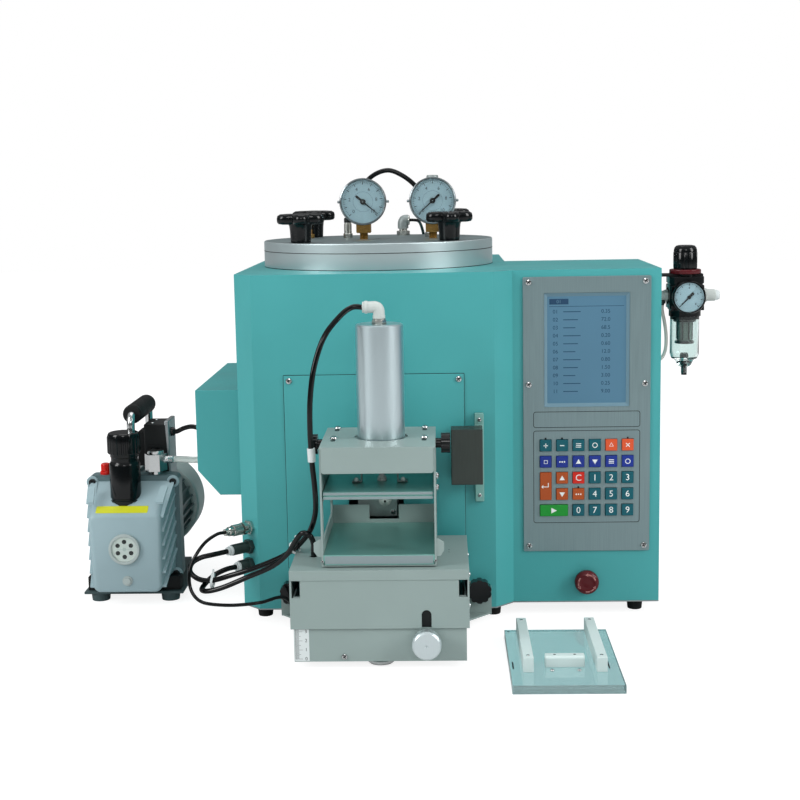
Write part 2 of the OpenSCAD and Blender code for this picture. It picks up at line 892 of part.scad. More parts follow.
module lid_fittings() {
    color("dimgray") {
        lid_elbow(elbow_spot, 0, 9, 20);
        for (s = hose_spots)
            translate([s[0] + (s[0] < 0 ? 7 : -3), s[1], lid_top]) {
                cylinder(r = 6, h = 6, $fn = 6);
                cylinder(r = 5, h = 26);
            }
        translate([brass_spot[0], brass_spot[1], lid_top]) {
            cylinder(r = 5.5, h = 5, $fn = 6);
            cylinder(r = 3.2, h = 11);
        }
    }
}

module lid_hoses() {
    color("black") {
        hose(lid_hose_route, lid_hose_d);
        hose(thin_hose_route, thin_hose_d);
    }
}

// ---- Nozzle ----

module nozzle_block() {
    color("gray")
        difference() {
            union() {
                block([block_x[0], block_y[0], block_z[0]], [block_x[1], block_y[1], block_z[1]]);
                translate([lid_offset, 0, 0])
                    feed_pipe();
            }
            translate([nozzle_x, 0, nozzle_z])
                y_rod(nozzle_r + run_gap, -1, 26);
        }
}

// Heated pipe from the pot's bottom outlet to the nozzle block
module feed_pipe() {
    outlet = tank_foot - 14;
    translate([0, pot_y, block_z[0] + 16]) {
        cylinder(r = feed_r + 4, h = outlet - block_z[0] - 16);
        sphere(r = feed_r + 4, $fn = 32);
    }
    translate([0, 0, block_z[0] + 16])
        y_rod(feed_r + 4, block_y[1] - 1, pot_y);
}

module nozzle_tip() {
    color("silver")
        translate([nozzle_x, 0, nozzle_z])
            rotate([90, 0, 0])
                rotate_extrude()
                    polygon([[0, -26 + nozzle_travel + 0.5], [nozzle_r, -26 + nozzle_travel + 0.5],
                        [nozzle_r, -nozzle_root_y + nozzle_root_y], [2.2, -nozzle_tip_y - 0.6],
                        [1.6, -nozzle_tip_y], [1, -nozzle_tip_y], [1, -nozzle_tip_y - 4],
                        [0, -nozzle_tip_y - 4]]);
}

module side_block() {
    color("dimgray") {
        block([side_rail_x[0], -side_rail_t, side_rail_z[0]], [side_rail_x[1], 0, side_rail_z[1]]);
        block([side_block_x[0], -side_rail_t - side_block_d, side_block_z[0]],
            [side_block_x[1], -side_rail_t, side_block_z[1]]);
    }
}

// ---- Clamp ----

module clamp_housing() {
    wall = clamp_sheet;
    color("darkgray")
        translate([clamp_x, 0, 0])
            difference() {
                union() {
                    block([-half_housing, housing_y[0], housing_z],
                        [half_housing, housing_y[0] + wall, housing_top]);
                    block([-half_housing, housing_y[0], housing_z],
                        [half_housing, housing_y[1] + 2, housing_z + wall]);
                    for (s = [-1, 1]) {
                        block([s > 0 ? half_housing - wall : -half_housing, housing_y[0], housing_z],
                            [s > 0 ? half_housing : wall - half_housing, housing_y[1], housing_top]);
                        ear(s);
                    }
                }
                translate([0, wheel_y, housing_z - 1])
                    cylinder(r = screw_r + run_gap, h = wall + 2);
                translate([height_spot[0], 0, height_spot[1]])
                    y_rod(height_stud_r + run_gap, housing_y[0] - 1, housing_y[0] + wall + 1);
                for (s = [-1, 1])
                    translate([s * mount_x, 0, mount_z])
                        y_rod(mount_stud_r + run_gap, -3, 1);
            }
}

// Folded ear that stands against the cabinet, with its gusset
module ear(s) {
    reach = half_housing + ear_w;
    xz_plate(-2, 0)
        polygon([[s * (half_housing - 1), housing_z], [s * reach, housing_z],
            [s * reach, ear_top - 6], [s * (reach - 6), ear_top], [s * (half_housing - 1), ear_top]]);
    translate([0, 0, housing_z])
        linear_extrude(clamp_sheet)
            polygon([[s * (half_housing - 1), -gusset_d], [s * half_housing, -gusset_d],
                [s * reach, 0], [s * (half_housing - 1), 0]]);
}

module lift_cover() {
    wall = clamp_sheet;
    front_top = lift_z - cover_flange;
    color("darkgray")
        translate([clamp_x, 0, 0])
            difference() {
                union() {
                    block([-half_lift, lift_y[0], lift_z - wall], [half_lift, lift_y[1], lift_z]);
                    block([-half_lift, lift_y[0], front_top],
                        [half_lift, lift_y[0] + wall, lift_z]);
                    block([-half_lift, lift_y[0] + 0.8, lift_z - lift_h],
                        [half_lift, lift_y[0] + wall + 0.8, front_top + 1]);
                    for (s = [-1, 1])
                        block([s > 0 ? half_lift - wall : -half_lift, lift_y[0] + 0.8,
                            lift_z - lift_h], [s > 0 ? half_lift : wall - half_lift, lift_y[1],
                            lift_z]);
                    for (s = [-1, 1])
                        block([s * rail_half - 4, table_y[0] + 6, lift_z - 1],
                            [s * rail_half + 4, lift_y[1], lift_z + rail_h]);
                    translate([0, wheel_y, lift_z - 49])
                        cylinder(r = nut_r, h = 48);
                }
                translate([0, wheel_y, lift_z - 50])
                    cylinder(r = screw_r + run_gap, h = 50 - wall);
                for (s = [-1, 1])
                    block([s > 0 ? half_lift - wall - cover_notch[0] : -half_lift + wall,
                        lift_y[0] - 1, front_top - cover_notch[1]],
                        [s > 0 ? half_lift - wall : -half_lift + wall + cover_notch[0],
                        lift_y[0] + wall + 1, front_top]);
                xz_plate(lift_y[0] - 1, lift_y[0] + wall + 1) {
                    translate([height_spot[0] - slot_w / 2, lift_z - lift_h - 1])
                        square([slot_w, slot_top - slot_w / 2 - lift_z + lift_h + 1]);
                    translate([height_spot[0], slot_top - slot_w / 2])
                        circle(slot_w / 2);
                }
                translate([-64 - clamp_x, -109, lift_z - 5])
                    cylinder(r = hose_d / 2 + 1.2, h = 10);
            }
}

module table_plate() {
    color("silver")
        translate([clamp_x, 0, 0])
            difference() {
                block([-half_head, table_y[0], table_foot], [half_head, table_y[1], table_z]);
                for (s = [-1, 1])
                    translate([s * half_head, table_y[0], table_foot - 1])
                        rotate(45)
                            translate([-1.5, -1.5, 0])
                                cube([3, 3, 5]);
            }
}

// Side of the clamp's frame, an open arch
module side_outline() {
    difference() {
        polygon([[table_y[0] + 1, lift_z + rail_h], [wall_y, lift_z + rail_h],
            [wall_y, wall_top + 6], [head_y[1] + 2, head_z - clamp_sheet],
            [head_y[0] + clamp_sheet + 0.2, head_z - clamp_sheet],
            [head_y[0] + clamp_sheet + 0.2, table_z]]);
        polygon([[table_y[0] + 14, table_z + 14], [wall_y - 10, table_z + 14],
            [wall_y - 10, wall_top + 4], [head_y[1] - 9, head_z - 62],
            [table_y[0] + 14, head_z - 62]]);
    }
}

module clamp_frame() {
    top = head_z - clamp_sheet;
    color("darkgray")
        translate([clamp_x, 0, 0])
            difference() {
                union() {
                    for (s = [-1, 1])
                        yz_plate(s > 0 ? half_head : -frame_half, s > 0 ? frame_half : -half_head)
                            side_outline();
                    block([-frame_half, table_y[0] + 1, lift_z + rail_h],
                        [frame_half, wall_y, table_foot]);
                    block([-frame_half, head_y[0] + clamp_sheet + 0.2, top - clamp_sheet],
                        [frame_half, head_y[1] - 1, top]);
                    xz_plate(wall_y, wall_y + clamp_sheet)
                        polygon([[-frame_half, lift_z + rail_h], [frame_half, lift_z + rail_h],
                            [frame_half, wall_top], [notch_half, wall_top], [notch_half, notch_z],
                            [-notch_half, notch_z], [-notch_half, wall_top],
                            [-frame_half, wall_top]]);
                    for (s = [-1, 1])
                        xz_plate(table_y[0] + 1, table_y[0] + 1 + clamp_sheet)
                            polygon([[s * half_head, table_z - 2],
                                [s * (frame_half + lug[0] - 4), table_z - 2],
                                [s * (frame_half + lug[0]), table_z + 4],
                                [s * (frame_half + lug[0]), table_z - 2 + lug[1] - 4],
                                [s * (frame_half + 2), table_z - 2 + lug[1]],
                                [s * half_head, table_z - 2 + lug[1]]]);
                    for (s = [-1, 1])
                        hanger(s);
                }
                translate([cylinder_side, cylinder_y, top - clamp_sheet - 1])
                    cylinder(r = rod_r + 2, h = clamp_sheet + 2);
                for (s = [-1, 1])
                    translate([0, frame_knob_spot[0], frame_knob_spot[1]])
                        x_rod(frame_stud_r + run_gap, s > 0 ? half_head - 1 : -frame_half - 1,
                            s > 0 ? frame_half + 1 : -half_head + 1);
            }
}

// Small hooked strip that hangs under the head and stops the press plate
module hanger(s) {
    top = head_z - 2 * clamp_sheet;
    foot = press_z + press_t + 0.6;
    x = s > 0 ? [19, 20.5] : [-20.5, -19];
    block([x[0], cylinder_y - 14, foot], [x[1], cylinder_y - 4, top + 0.5]);
    block([s > 0 ? 19 : -30, cylinder_y - 14, foot], [s > 0 ? 30 : -19, cylinder_y - 4, foot + 1.5]);
}

module head_bracket() {
    top = head_z - clamp_sheet;
    inner = head_y[0] + clamp_sheet;
    color("darkgray")
        translate([clamp_x, 0, 0])
            difference() {
                union() {
                    block([-frame_half, head_y[0], top], [frame_half, head_y[1], head_z]);
                    xz_plate(head_y[0], inner)
                        rounded([-half_head, head_z - head_flange], [half_head, head_z], 3);
                }
                translate([cylinder_side, cylinder_y, top - 1])
                    cylinder(r = cylinder_hole_r, h = clamp_sheet + 2);
                for (p = head_screw_spots)
                    translate([p[0], p[1], top - 1]) {
                        translate([-2, -5, 0])
                            cube([4, 10, clamp_sheet + 2]);
                    }
            }
    color("silver")
        translate([clamp_x, 0, 0])
            for (p = head_screw_spots)
                translate([p[0], p[1] + 2, head_z])
                    cylinder(r1 = 4, r2 = 2.6, h = 2.2, $fn = 24);
}

module air_cylinder() {
    seat = head_z - clamp_sheet;
    top = head_z + cylinder_h;
    color("gainsboro")
        translate([cylinder_x, cylinder_y, 0]) {
            difference() {
                rotate_extrude()
                    polygon([[0, seat], [cylinder_r, seat], [cylinder_r, top - 2],
                        [cylinder_r - 2, top], [8, top], [8, top + 6], [7, top + 7],
                        [7, top + 18], [0, top + 18]]);
                translate([0, 0, seat - 1])
                    cylinder(r = rod_r + run_gap, h = 110);
            }
            translate([0, 0, top + 18])
                sphere(r = 7, $fn = 32);
            translate([0, 0, top + 18])
                x_rod(6.5, -18, 0);
        }
}

module piston_rod() {
    color("silver")
        translate([cylinder_x, cylinder_y, press_z + press_t])
            union() {
                cylinder(r = rod_r, h = head_z - press_z - press_t + 55);
                cylinder(r = rod_r + 2.2, h = 5, $fn = 32);
            }
}

module press_plate() {
    layer = press_t / 2;
    color("silver")
        translate([clamp_x, 0, press_z]) {
            block([-half_head + 1, table_y[0] + 2, 0], [half_head - 1, -40, layer - 0.4]);
            block([-half_head + 2, table_y[0] + 3, layer - 0.5], [half_head - 2, -40, layer + 0.5]);
            block([-half_head + 1, table_y[0] + 2, layer + 0.4], [half_head - 1, -40, press_t]);
        }
}

module height_knob() {
    color("gainsboro")
        translate([clamp_x + height_spot[0], 0, height_spot[1]])
            union() {
                translate([0, lift_y[0] - 0.3, 0])
                    rotate([90, 0, 0])
                        rotate_extrude()
                            polygon([[1.2, 2], [height_knob_r - 1, 0], [height_knob_r, 1],
                                [height_knob_r, 17], [height_knob_r - 1, 18], [1.2, 18]]);
                y_rod(height_stud_r, lift_y[0] - 6, housing_y[0] + clamp_sheet + 6);
            }
}

module lift_wheel() {
    color("silver")
        translate([clamp_x, wheel_y, wheel_z]) {
            rotate_extrude()
                polygon([[0, 0], [wheel_r - 4, 0], [wheel_r, 2.4], [wheel_r, wheel_h],
                    [0, wheel_h]]);
            cylinder(r = screw_r, h = housing_top + 1 - wheel_z);
            cylinder(r = 7, h = housing_z - wheel_z - 0.1);
            translate([0, 0, housing_z + clamp_sheet + 0.1 - wheel_z])
                cylinder(r = 7, h = 3);
        }
}

module mount_knob(s) {
    color("black")
        translate([clamp_x + s * mount_x, -2, mount_z])
            rotate([90, 0, 0]) {
                translate([0, 0, 4])
                    fluted(mount_knob_r, 13, 10, 1.2);
                cylinder(r = 7, h = 5);
                translate([0, 0, -12])
                    cylinder(r = mount_stud_r, h = 13);
            }
}

module frame_knob(s) {
    color("black")
        translate([clamp_x + s * frame_half, frame_knob_spot[0], frame_knob_spot[1]])
            rotate([0, s * 90, 0]) {
                translate([0, 0, 6])
                    fluted(frame_knob_r, 10, 8, 1.2);
                cylinder(r = 5.5, h = 7);
                translate([0, 0, -8])
                    cylinder(r = frame_stud_r, h = 9);
            }
}

// ---- Side sockets and hoses ----

module hose_fittings() {
    color("silver") {
        on_chamfer(socket_heights[0]) {
            cylinder(r = 9, h = 4, $fn = 6);
            cylinder(r = 7.5, h = 12);
            cylinder(r = 6.5, h = 30);
            cylinder(r = 4, h = 36.8);
        }
        on_chamfer(socket_heights[1]) {
            cylinder(r = 9, h = 6, $fn = 6);
            cylinder(r = 6.5, h = 30);
            cylinder(r = 4.5, h = 34);
        }
        on_chamfer(socket_heights[2]) {
            cylinder(r = 8, h = 6, $fn = 6);
            cylinder(r = 6.5, h = 20);
            cylinder(r = 4.5, h = 22.6);
        }
        translate([regulator_x, regulator_y, fitting_z]) {
            x_rod(8, regulator_w / 2, regulator_w / 2 + right_fitting_l);
            x_rod(7, tower_side - regulator_x, -regulator_w / 2);
            translate([bleed_route[0][0] - regulator_x, 0, -11])
                cylinder(r = 4, h = 8);
        }
        translate([0, cable_end[1], cable_end[2]])
            x_rod(4, cable_end[0] + 0.1, clamp_x - half_housing);
    }
}

module hose_loom() {
    color("black") {
        hose(clamp_hose_route, hose_d);
        hose(table_hose_route, hose_d);
        hose(cable_route, cable_d);
        hose(pump_lead_route, lead_d);
    }
    color("lightblue") {
        hose(vacuum_route, vacuum_hose_d);
        hose(bleed_route, 4);
    }
}

// ---- Regulator ----

module regulator_body() {
    half = regulator_w / 2;
    color("dimgray")
        translate([regulator_x, regulator_y, 0])
            difference() {
                union() {
                    translate([0, 0, regulator_foot])
                        linear_extrude(regulator_h)
                            rounded([-half, -half], [half, half], 6);
                    block([tower_side - regulator_x, -10, regulator_top],
                        [half, 10, regulator_top + bracket_t]);
                    translate([0, 0, regulator_top])
                        cylinder(r = 12, h = 14);
                    translate([0, 0, regulator_top + bracket_t])
                        cylinder(r = ring_r, h = 5);
                }
                translate([0, -half - 1, regulator_gauge_z])
                    y_rod(7, 0, 6);
            }
}

module regulator_bowl() {
    z0 = regulator_foot - bowl_h;
    color("lightgray")
        translate([regulator_x, regulator_y, 0])
            rotate_extrude()
                polygon([[0, z0 - 20], [3.5, z0 - 20], [3.5, z0 - 12], [8, z0 - 9],
                    [11, z0 - 2], [bowl_r - 2, z0], [bowl_r, z0 + 5], [bowl_r, regulator_foot],
                    [0, regulator_foot]]);
}

module regulator_gauge() {
    front = regulator_y - regulator_w / 2;
    color("black")
        translate([regulator_x, front, regulator_gauge_z])
            rotate([90, 0, 0])
                rotate_extrude()
                    polygon([[0, -5], [6.95, -5], [6.95, 1], [regulator_gauge_r, 2],
                        [regulator_gauge_r, regulator_gauge_depth],
                        [regulator_gauge_r - 2, regulator_gauge_depth],
                        [regulator_gauge_r - 2, regulator_gauge_depth - 3.5],
                        [needle_pin_r, regulator_gauge_depth - 3.5],
                        [needle_pin_r, regulator_gauge_depth - 1.5],
                        [0, regulator_gauge_depth - 1.5]]);
}

module regulator_needle() {
    y = regulator_y - regulator_w / 2 - regulator_gauge_depth + 2.2 + needle_t;
    color("black")
        needle(regulator_x, y, regulator_gauge_z, regulator_gauge_r - 2, 225);
}

module regulator_knob() {
    color("black")
        translate([regulator_x, regulator_y, regulator_top + bracket_t + 5.2])
            difference() {
                union() {
                    fluted(regulator_knob_r, regulator_knob_h - 3, 20, 0.7);
                    cylinder(r = regulator_knob_r - 2, h = regulator_knob_h);
                }
                translate([0, 0, -1])
                    cylinder(r = 12 + run_gap, h = 7.8);
            }
}

// ---- Vacuum pump ----

// Tapered oil case: its front face is smaller than the flange behind it
module oil_case() {
    back_half = pump_flange_w / 2 - 6;
    front_half = oil_case_w / 2;
    back_top = pump_z + pump_flange_h - 8;
    front_top = oil_case_z + oil_case_h;
    low = oil_case_z;
    hull() {
        translate([0, pump_flange_y, 0])
            rotate([90, 0, 0])
                linear_extrude(1)
                    rounded([-back_half, low + 8], [back_half, back_top], 10);
        translate([0, oil_case_y + 5, 0])
            rotate([90, 0, 0])
                linear_extrude(5) {
                    rounded([-front_half, front_top - 30], [front_half, front_top], 7);
                    rounded([5 - front_half, low], [front_half - 5, low + 30], 7);
                }
    }
}

module pump_case() {
    half = pump_flange_w / 2;
    color("slategray")
        translate([pump_x, 0, 0]) {
            difference() {
                union() {
                    oil_case();
                    xz_plate(pump_flange_y - eps, pump_flange_y + pump_flange_t)
                        rounded([-half, pump_z], [half, pump_z + pump_flange_h], 7);
                    translate([sight_x, 0, sight_z])
                        y_rod(sight_r, oil_case_y - 3, oil_case_y + 3);
                    intersection() {
                        for (s = [-1, 1], i = [0:4])
                            case_rib(s, 34 + 19 * i);
                        block([-half, oil_case_y, oil_case_z],
                            [half, pump_flange_y + 1, pump_z + pump_flange_h]);
                    }
                }
                translate([sight_x, 0, sight_z])
                    y_rod(sight_r - 3.5, oil_case_y - 4, oil_case_y - 1);
                translate([filter_x, filter_y, filter_seat])
                    cylinder(r = filter_r + run_gap, h = 60);
                translate([filter_x, filter_y, filter_seat - 15])
                    cylinder(r = filter_r - 5, h = 30);
            }
        }
}

// Slanted cooling rib on the side of the oil case
module case_rib(s, z) {
    reach = pump_flange_w / 2 - 4;
    translate([s > 0 ? oil_case_w / 2 - 8 : -reach, pump_flange_y - 2, z])
        rotate([50, 0, 0])
            translate([0, -34, 0])
                cube([reach - oil_case_w / 2 + 8, 34, 3]);
}

module pump_motor() {
    color("lightgray")
        translate([pump_x, 0, motor_z]) {
            y_rod(motor_r - fin_h, motor_y, motor_y + motor_l - fan_cover_l);
            for (i = [0:fin_count - 1])
                rotate([0, 360 * i / fin_count, 0])
                    block([motor_r - fin_h - 1, motor_y + 4, -fin_t / 2],
                        [motor_r, motor_y + motor_l - fan_cover_l, fin_t / 2]);
            translate([0, motor_y + motor_l - fan_cover_l, 0])
                rotate([-90, 0, 0])
                    rotate_extrude()
                        polygon([[0, 0], [motor_r + 4, 0], [motor_r + 6, 4],
                            [motor_r + 6, fan_cover_l - 14], [motor_r - 6, fan_cover_l],
                            [0, fan_cover_l]]);
            block([-34, motor_y + 10, base_z + base_t - motor_z],
                [34, motor_y + 90, -motor_r + 12]);
        }
}

module pump_base() {
    half = base_w / 2;
    deep = motor_y + motor_l - 40;
    color("black")
        translate([pump_x, 0, 0]) {
            translate([0, 0, base_z])
                linear_extrude(base_t)
                    polygon([[-half, base_front], [half, base_front], [half, pump_flange_y + 24],
                        [base_back_half, deep], [-base_back_half, deep],
                        [-half, pump_flange_y + 24]]);
            for (x = [-1, 1], p = [[half - 18, base_front + 13], [base_back_half - 14, deep - 16]])
                translate([x * p[0], p[1], 0])
                    cylinder(r1 = pump_foot_r - 1, r2 = pump_foot_r, h = base_z);
            block([-half + 12, pump_flange_y + 1, base_z + base_t - eps],
                [half - 12, pump_flange_y + pump_flange_t - 1, pump_z]);
        }
}

module exhaust_filter() {
    neck_z = filter_cap_z - 7;
    color("black")
        translate([pump_x + filter_x, filter_y, 0])
            union() {
                translate([0, 0, filter_seat - 14])
                    cylinder(r = filter_r - 5.1, h = 20);
                translate([0, 0, filter_seat])
                    cylinder(r = filter_r, h = neck_z - filter_seat);
                translate([0, 0, neck_z - 1])
                    cylinder(r = filter_r - 1.5, h = 10);
                translate([0, 0, filter_cap_z])
                    fluted(filter_r + 1.5, filter_cap_h, 24, 0.8);
            }
}

module oil_cap() {
    color("red")
        translate([pump_x - 36, pump_flange_y + 11, pump_z + pump_flange_h]) {
            cylinder(r = 7, h = 4);
            cylinder(r = 6, h = 14, $fn = 8);
        }
}

module pump_inlet() {
    color("silver")
        translate([pump_x + inlet_x, inlet_y, pump_z + pump_flange_h]) {
            cylinder(r = 8, h = 6);
            translate([0, 0, 4])
                cylinder(r = 14, h = 26, $fn = 6);
            translate([0, 0, 18])
                x_rod(5.5, 10, 23);
        }
}

module pump_handle() {
    rod_top = handle_z;
    color("silver")
        translate([pump_x, 0, 0]) {
            for (y = handle_y)
                translate([0, y, y < 150 ? pump_z + pump_flange_h : motor_z + motor_r + 6])
                    cylinder(r = handle_rod_r, h = rod_top - (y < 150 ? pump_z + pump_flange_h :
                        motor_z + motor_r + 6));
            for (y = handle_y)
                translate([0, y, rod_top])
                    sphere(r = handle_rod_r, $fn = 32);
            translate([0, 0, rod_top])
                y_rod(handle_rod_r, handle_y[0], handle_y[1]);
            translate([0, 0, rod_top])
                y_rod(grip_r, handle_y[0] + 10, handle_y[0] + 10 + grip_l);
        }
}

module switch_box() {
    color("black")
        translate([pump_x, 0, 0])
            difference() {
                union() {
                    block([switch_x[0], motor_y + 3, switch_z[0]],
                        [switch_x[1], motor_y + 3 + switch_d, switch_z[1]]);
                    block([switch_x[1], motor_y + 3, switch_z[0]],
                        [switch_x[1] + switch_plate_t, motor_y - 1 + switch_d, switch_z[1] + 4]);
                }
                translate([0, 0, motor_z])
                    y_rod(motor_r + 0.1, motor_y - 1, motor_y + 80);
            }
}

// ---- Mould plate ----

module mould_plate() {
    color("lightcyan")
        block([plate_x, plate_y, 0], [plate_x + plate_w, plate_y + plate_d, plate_t]);
}

module mould_bars() {
    color("white") {
        for (x = bar_x)
            block([plate_x + x, plate_y + bar_y[0], plate_t],
                [plate_x + x + bar_w, plate_y + bar_y[1], plate_t + bar_h]);
        translate([plate_x + roller_spot[0], plate_y + roller_spot[1], plate_t])
            rounded_bar();
    }
}

// White block with a rounded top that lies across the plate
module rounded_bar() {
    yz_plate(0, roller[0]) {
        square([roller[1], roller[2] - 3]);
        translate([3, 0])
            square([roller[1] - 6, roller[2]]);
        for (y = [3, roller[1] - 3])
            translate([y, roller[2] - 3])
                circle(3, $fn = 24);
    }
}

// ---- Assembly ----

module place() {
    translate([-origin[0], -origin[1], 0])
        children();
}

place() cabinet_shell();
place() cabinet_chassis();
place() cabinet_feet();
place() access_panel();
place() panel_screws();
place() valve_box();
place() control_panel();
place() display_screen();
place() wax_tank();
place() lid_gasket();
place() lid_studs();
place() nozzle_block();
place() side_block();
place() clamp_housing();
place() hose_fittings();
place() regulator_body();
place() regulator_bowl();
place() regulator_gauge();
place() pump_case();
place() pump_motor();
place() pump_base();
place() exhaust_filter();
place() oil_cap();
place() pump_inlet();
place() pump_handle();
place() switch_box();
place() hose_loom();
place() mould_plate();
place() mould_bars();
place() tank_lid();
place() vacuum_gauge();
place() pressure_gauge();
place() lid_fittings();
place() lid_hoses();
place() lid_knob(stud_angles[0]);  // lid_knob_front_left
place() lid_knob(stud_angles[1]);  // lid_knob_front_right
place() lid_knob(stud_angles[2]);  // lid_knob_back_left
place() lid_knob(stud_angles[3]);  // lid_knob_back_right
place() vacuum_needle();
place() pressure_needle();
place() regulator_needle();
place() lift_cover();
place() table_plate();
place() clamp_frame();
place() head_bracket();
place() air_cylinder();
place() press_plate();
place() piston_rod();
place() nozzle_tip();
place() height_knob();
place() lift_wheel();
place() mount_knob(-1);  // mount_knob_left
place() mount_knob(1);  // mount_knob_right
place() frame_knob(-1);  // frame_knob_left
place() frame_knob(1);  // frame_knob_right
place() regulator_knob();
place() emergency_stop();
place() mode_keys();
place() number_keys();
place() start_key();
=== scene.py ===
"""Dresses the wax injector: paint, metal and rubber on its solids, and the finer pieces they lack.

Sizes are millimetres from the middle of the main box's front edge: X to the right,
Y to the back, Z up. at() turns them into the frame's metres.
"""

import math

import bmesh
import bpy
from bpy.props import FloatProperty, FloatVectorProperty, PointerProperty
from mathutils import Matrix, Vector


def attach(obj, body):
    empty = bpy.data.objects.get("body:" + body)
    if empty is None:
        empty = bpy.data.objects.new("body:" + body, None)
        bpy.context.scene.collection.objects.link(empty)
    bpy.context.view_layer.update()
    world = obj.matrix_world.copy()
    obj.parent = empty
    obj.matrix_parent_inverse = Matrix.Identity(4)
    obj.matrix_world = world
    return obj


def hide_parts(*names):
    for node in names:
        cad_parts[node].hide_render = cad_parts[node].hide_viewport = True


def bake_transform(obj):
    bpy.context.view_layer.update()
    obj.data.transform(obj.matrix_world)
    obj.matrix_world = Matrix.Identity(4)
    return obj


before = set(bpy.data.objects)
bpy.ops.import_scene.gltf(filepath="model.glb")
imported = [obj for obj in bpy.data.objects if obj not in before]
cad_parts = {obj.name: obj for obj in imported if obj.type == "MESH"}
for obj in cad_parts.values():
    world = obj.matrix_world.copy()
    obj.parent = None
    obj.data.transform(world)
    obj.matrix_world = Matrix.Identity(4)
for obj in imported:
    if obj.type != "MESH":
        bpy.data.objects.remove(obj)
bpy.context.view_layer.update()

bl_info = {
    "name": "Wax injector",
    "version": (1, 0, 0),
    "blender": (4, 5, 0),
    "location": "3D View > Sidebar > Wax injector",
    "description": "Dresses a jewelry wax injector with its finishes and fine pieces",
    "category": "Add Mesh",
}

ORIGIN = Vector((17.25, 71.5, 0.0))

# Cabinet: its top, the access panel's half width, foot and top, and the corner of the
# cut-off left edge that carries the sockets
CAB_TOP = 410.0
ACCESS = (104.0, 66.0, 294.0)
CHAMFER = (-150.0, 10.75)

# Control tower: the middle of the panel, the keys' faces and the key grid
TOWER_X = 246.5
TOWER_Y = 21.5
PANEL_FRONT = 19.3
PANEL_Z = 78.0
KEY_FRONT = 17.1
KEY_PITCH_X = 19.1
KEY_PITCH_Z = 19.4
KEY_ROW_Z = 127.5

# Wax pot, its lid and the gauges on it
POT = (0.0, 193.0)
LID_R = 144.5
LID_TOP = 442.0
FLANGE_TOP = 430.0
STUD_CIRCLE = 127.0
STUD_ANGLES = {"front_left": 225, "front_right": 315, "back_left": 135, "back_right": 45}
GAUGE_X = (-17.75, 69.75)
GAUGE_Y = 175.0
GAUGE_Z = 489.0
GAUGE_R = 29.5
LID_SOCKETS = ((-41, 233), (65, 233))
LID_ELBOW = (29, 303)
LID_PLUG = (-92, 253)

# Mould clamp
CLAMP_X = 9.75
CLAMP_FRONT = -164.5
LOCK_X = CLAMP_X + 49.5
CYLINDER_X = CLAMP_X + 2
CYLINDER_Y = -95.0
HEAD_Z = 239.0
TABLE_Z = 123.0
NOZZLE_Z = 146.5

# Regulator, pump and mould plate
REGULATOR = (365.5, 60.0)
REGULATOR_TOP = 398.0
PUMP_X = -309
PUMP_FACE = 62.0
PUMP_TOP = 156
PUMP_BOLT_X = 50.5
PUMP_BOLT_Z = (30, 148)
PLATE = (145.5, -243.0)

# The middle lines of the hoses and cables
CLAMP_HOSE = [
    (-6.25, -95, 380), (-17, -95, 380), (-29, -101, 372), (-46, -113, 351), (-57, -120, 320),
    (-62, -123, 286), (-63, -124, 251), (-62, -123, 218), (-60, -118, 185), (-61, -109, 158),
    (-69, -98, 134), (-85, -85, 113), (-105, -71, 98), (-136, -52, 81), (-164, -42, 70),
    (-188, -40, 63), (-204, -38, 64), (-214, -36, 72), (-212, -35, 82), (-202, -33, 88),
    (-190, -28.8, 90), (-182, -21.3, 90), (-174.1, -13.4, 90)]
TABLE_HOSE = [
    (-166, -5.25, 69), (-176, -15.25, 69), (-188, -25, 65), (-197, -34, 58), (-200, -44, 53),
    (-190, -52, 54), (-172, -57, 60), (-146, -62, 72), (-116, -76, 88), (-96, -91, 106),
    (-84, -103, 125), (-76, -109, 135), (-68, -110, 133), (-64, -109, 124), (-64, -109, 112),
    (-64, -109, 78)]
THIN_CABLE = [
    (-176.1, -15.4, 113), (-184, -23.3, 113), (-196, -33, 106), (-206, -41, 93),
    (-212, -46, 79), (-213, -50, 64), (-209, -54, 52), (-200, -57, 43.5), (-186, -58, 40),
    (-160, -62, 40), (-130, -62, 43), (-112, -46, 44), (-103, -32, 37), (-98, -24, 26),
    (-94, -15, 20), (-91, -12, 19), (-87.1, -12, 19)]
PUMP_LEAD = [
    (-265.95, 150, 204), (-259, 150, 204), (-250, 150, 208), (-240, 150, 210),
    (-230, 150, 208), (-222, 150, 206), (-214.8, 150, 206)]
VACUUM_HOSE = [
    (-257.95, 120, 174), (-249, 120, 174), (-236, 120, 173), (-224, 120, 173),
    (-214.8, 120, 173)]
BLEED_TUBE = [
    (339, 60, 363.9), (339.25, 60, 357), (341.75, 60, 345), (343.75, 60, 331),
    (344, 60, 317), (342.25, 60, 307), (338.75, 60, 301), (335.75, 60, 299.7),
    (332.35, 60, 299.7)]
LID_HOSE = [
    (-41, 233, 468.05), (-41, 233, 476), (-34, 233, 488), (-25, 233, 503), (-8, 233, 521),
    (12, 233, 528), (31, 233, 521), (48, 233, 507), (61, 233, 488), (65, 233, 476),
    (65, 233, 468.05)]
THIN_HOSE = [
    (38.05, 303, 462), (43, 303, 462), (50, 312, 460), (54, 333, 450), (57, 349, 434),
    (58, 358, 422), (58, 360, 412), (58, 360, 372), (58, 360, 327)]


# ---- Places and outlines ----

def at(x, y, z):
    """The frame's metres for a point in millimetres."""
    return (Vector((x, y, z)) - ORIGIN) * 0.001


def placer(axis, degrees):
    """A function for places whose local Z is turned round an axis, from straight up."""
    lie = Matrix.Rotation(math.radians(degrees), 4, axis)

    def place(x, y, z, turn=0):
        return Matrix.Translation((x, y, z)) @ lie @ Matrix.Rotation(math.radians(turn), 4, "Z")
    return place


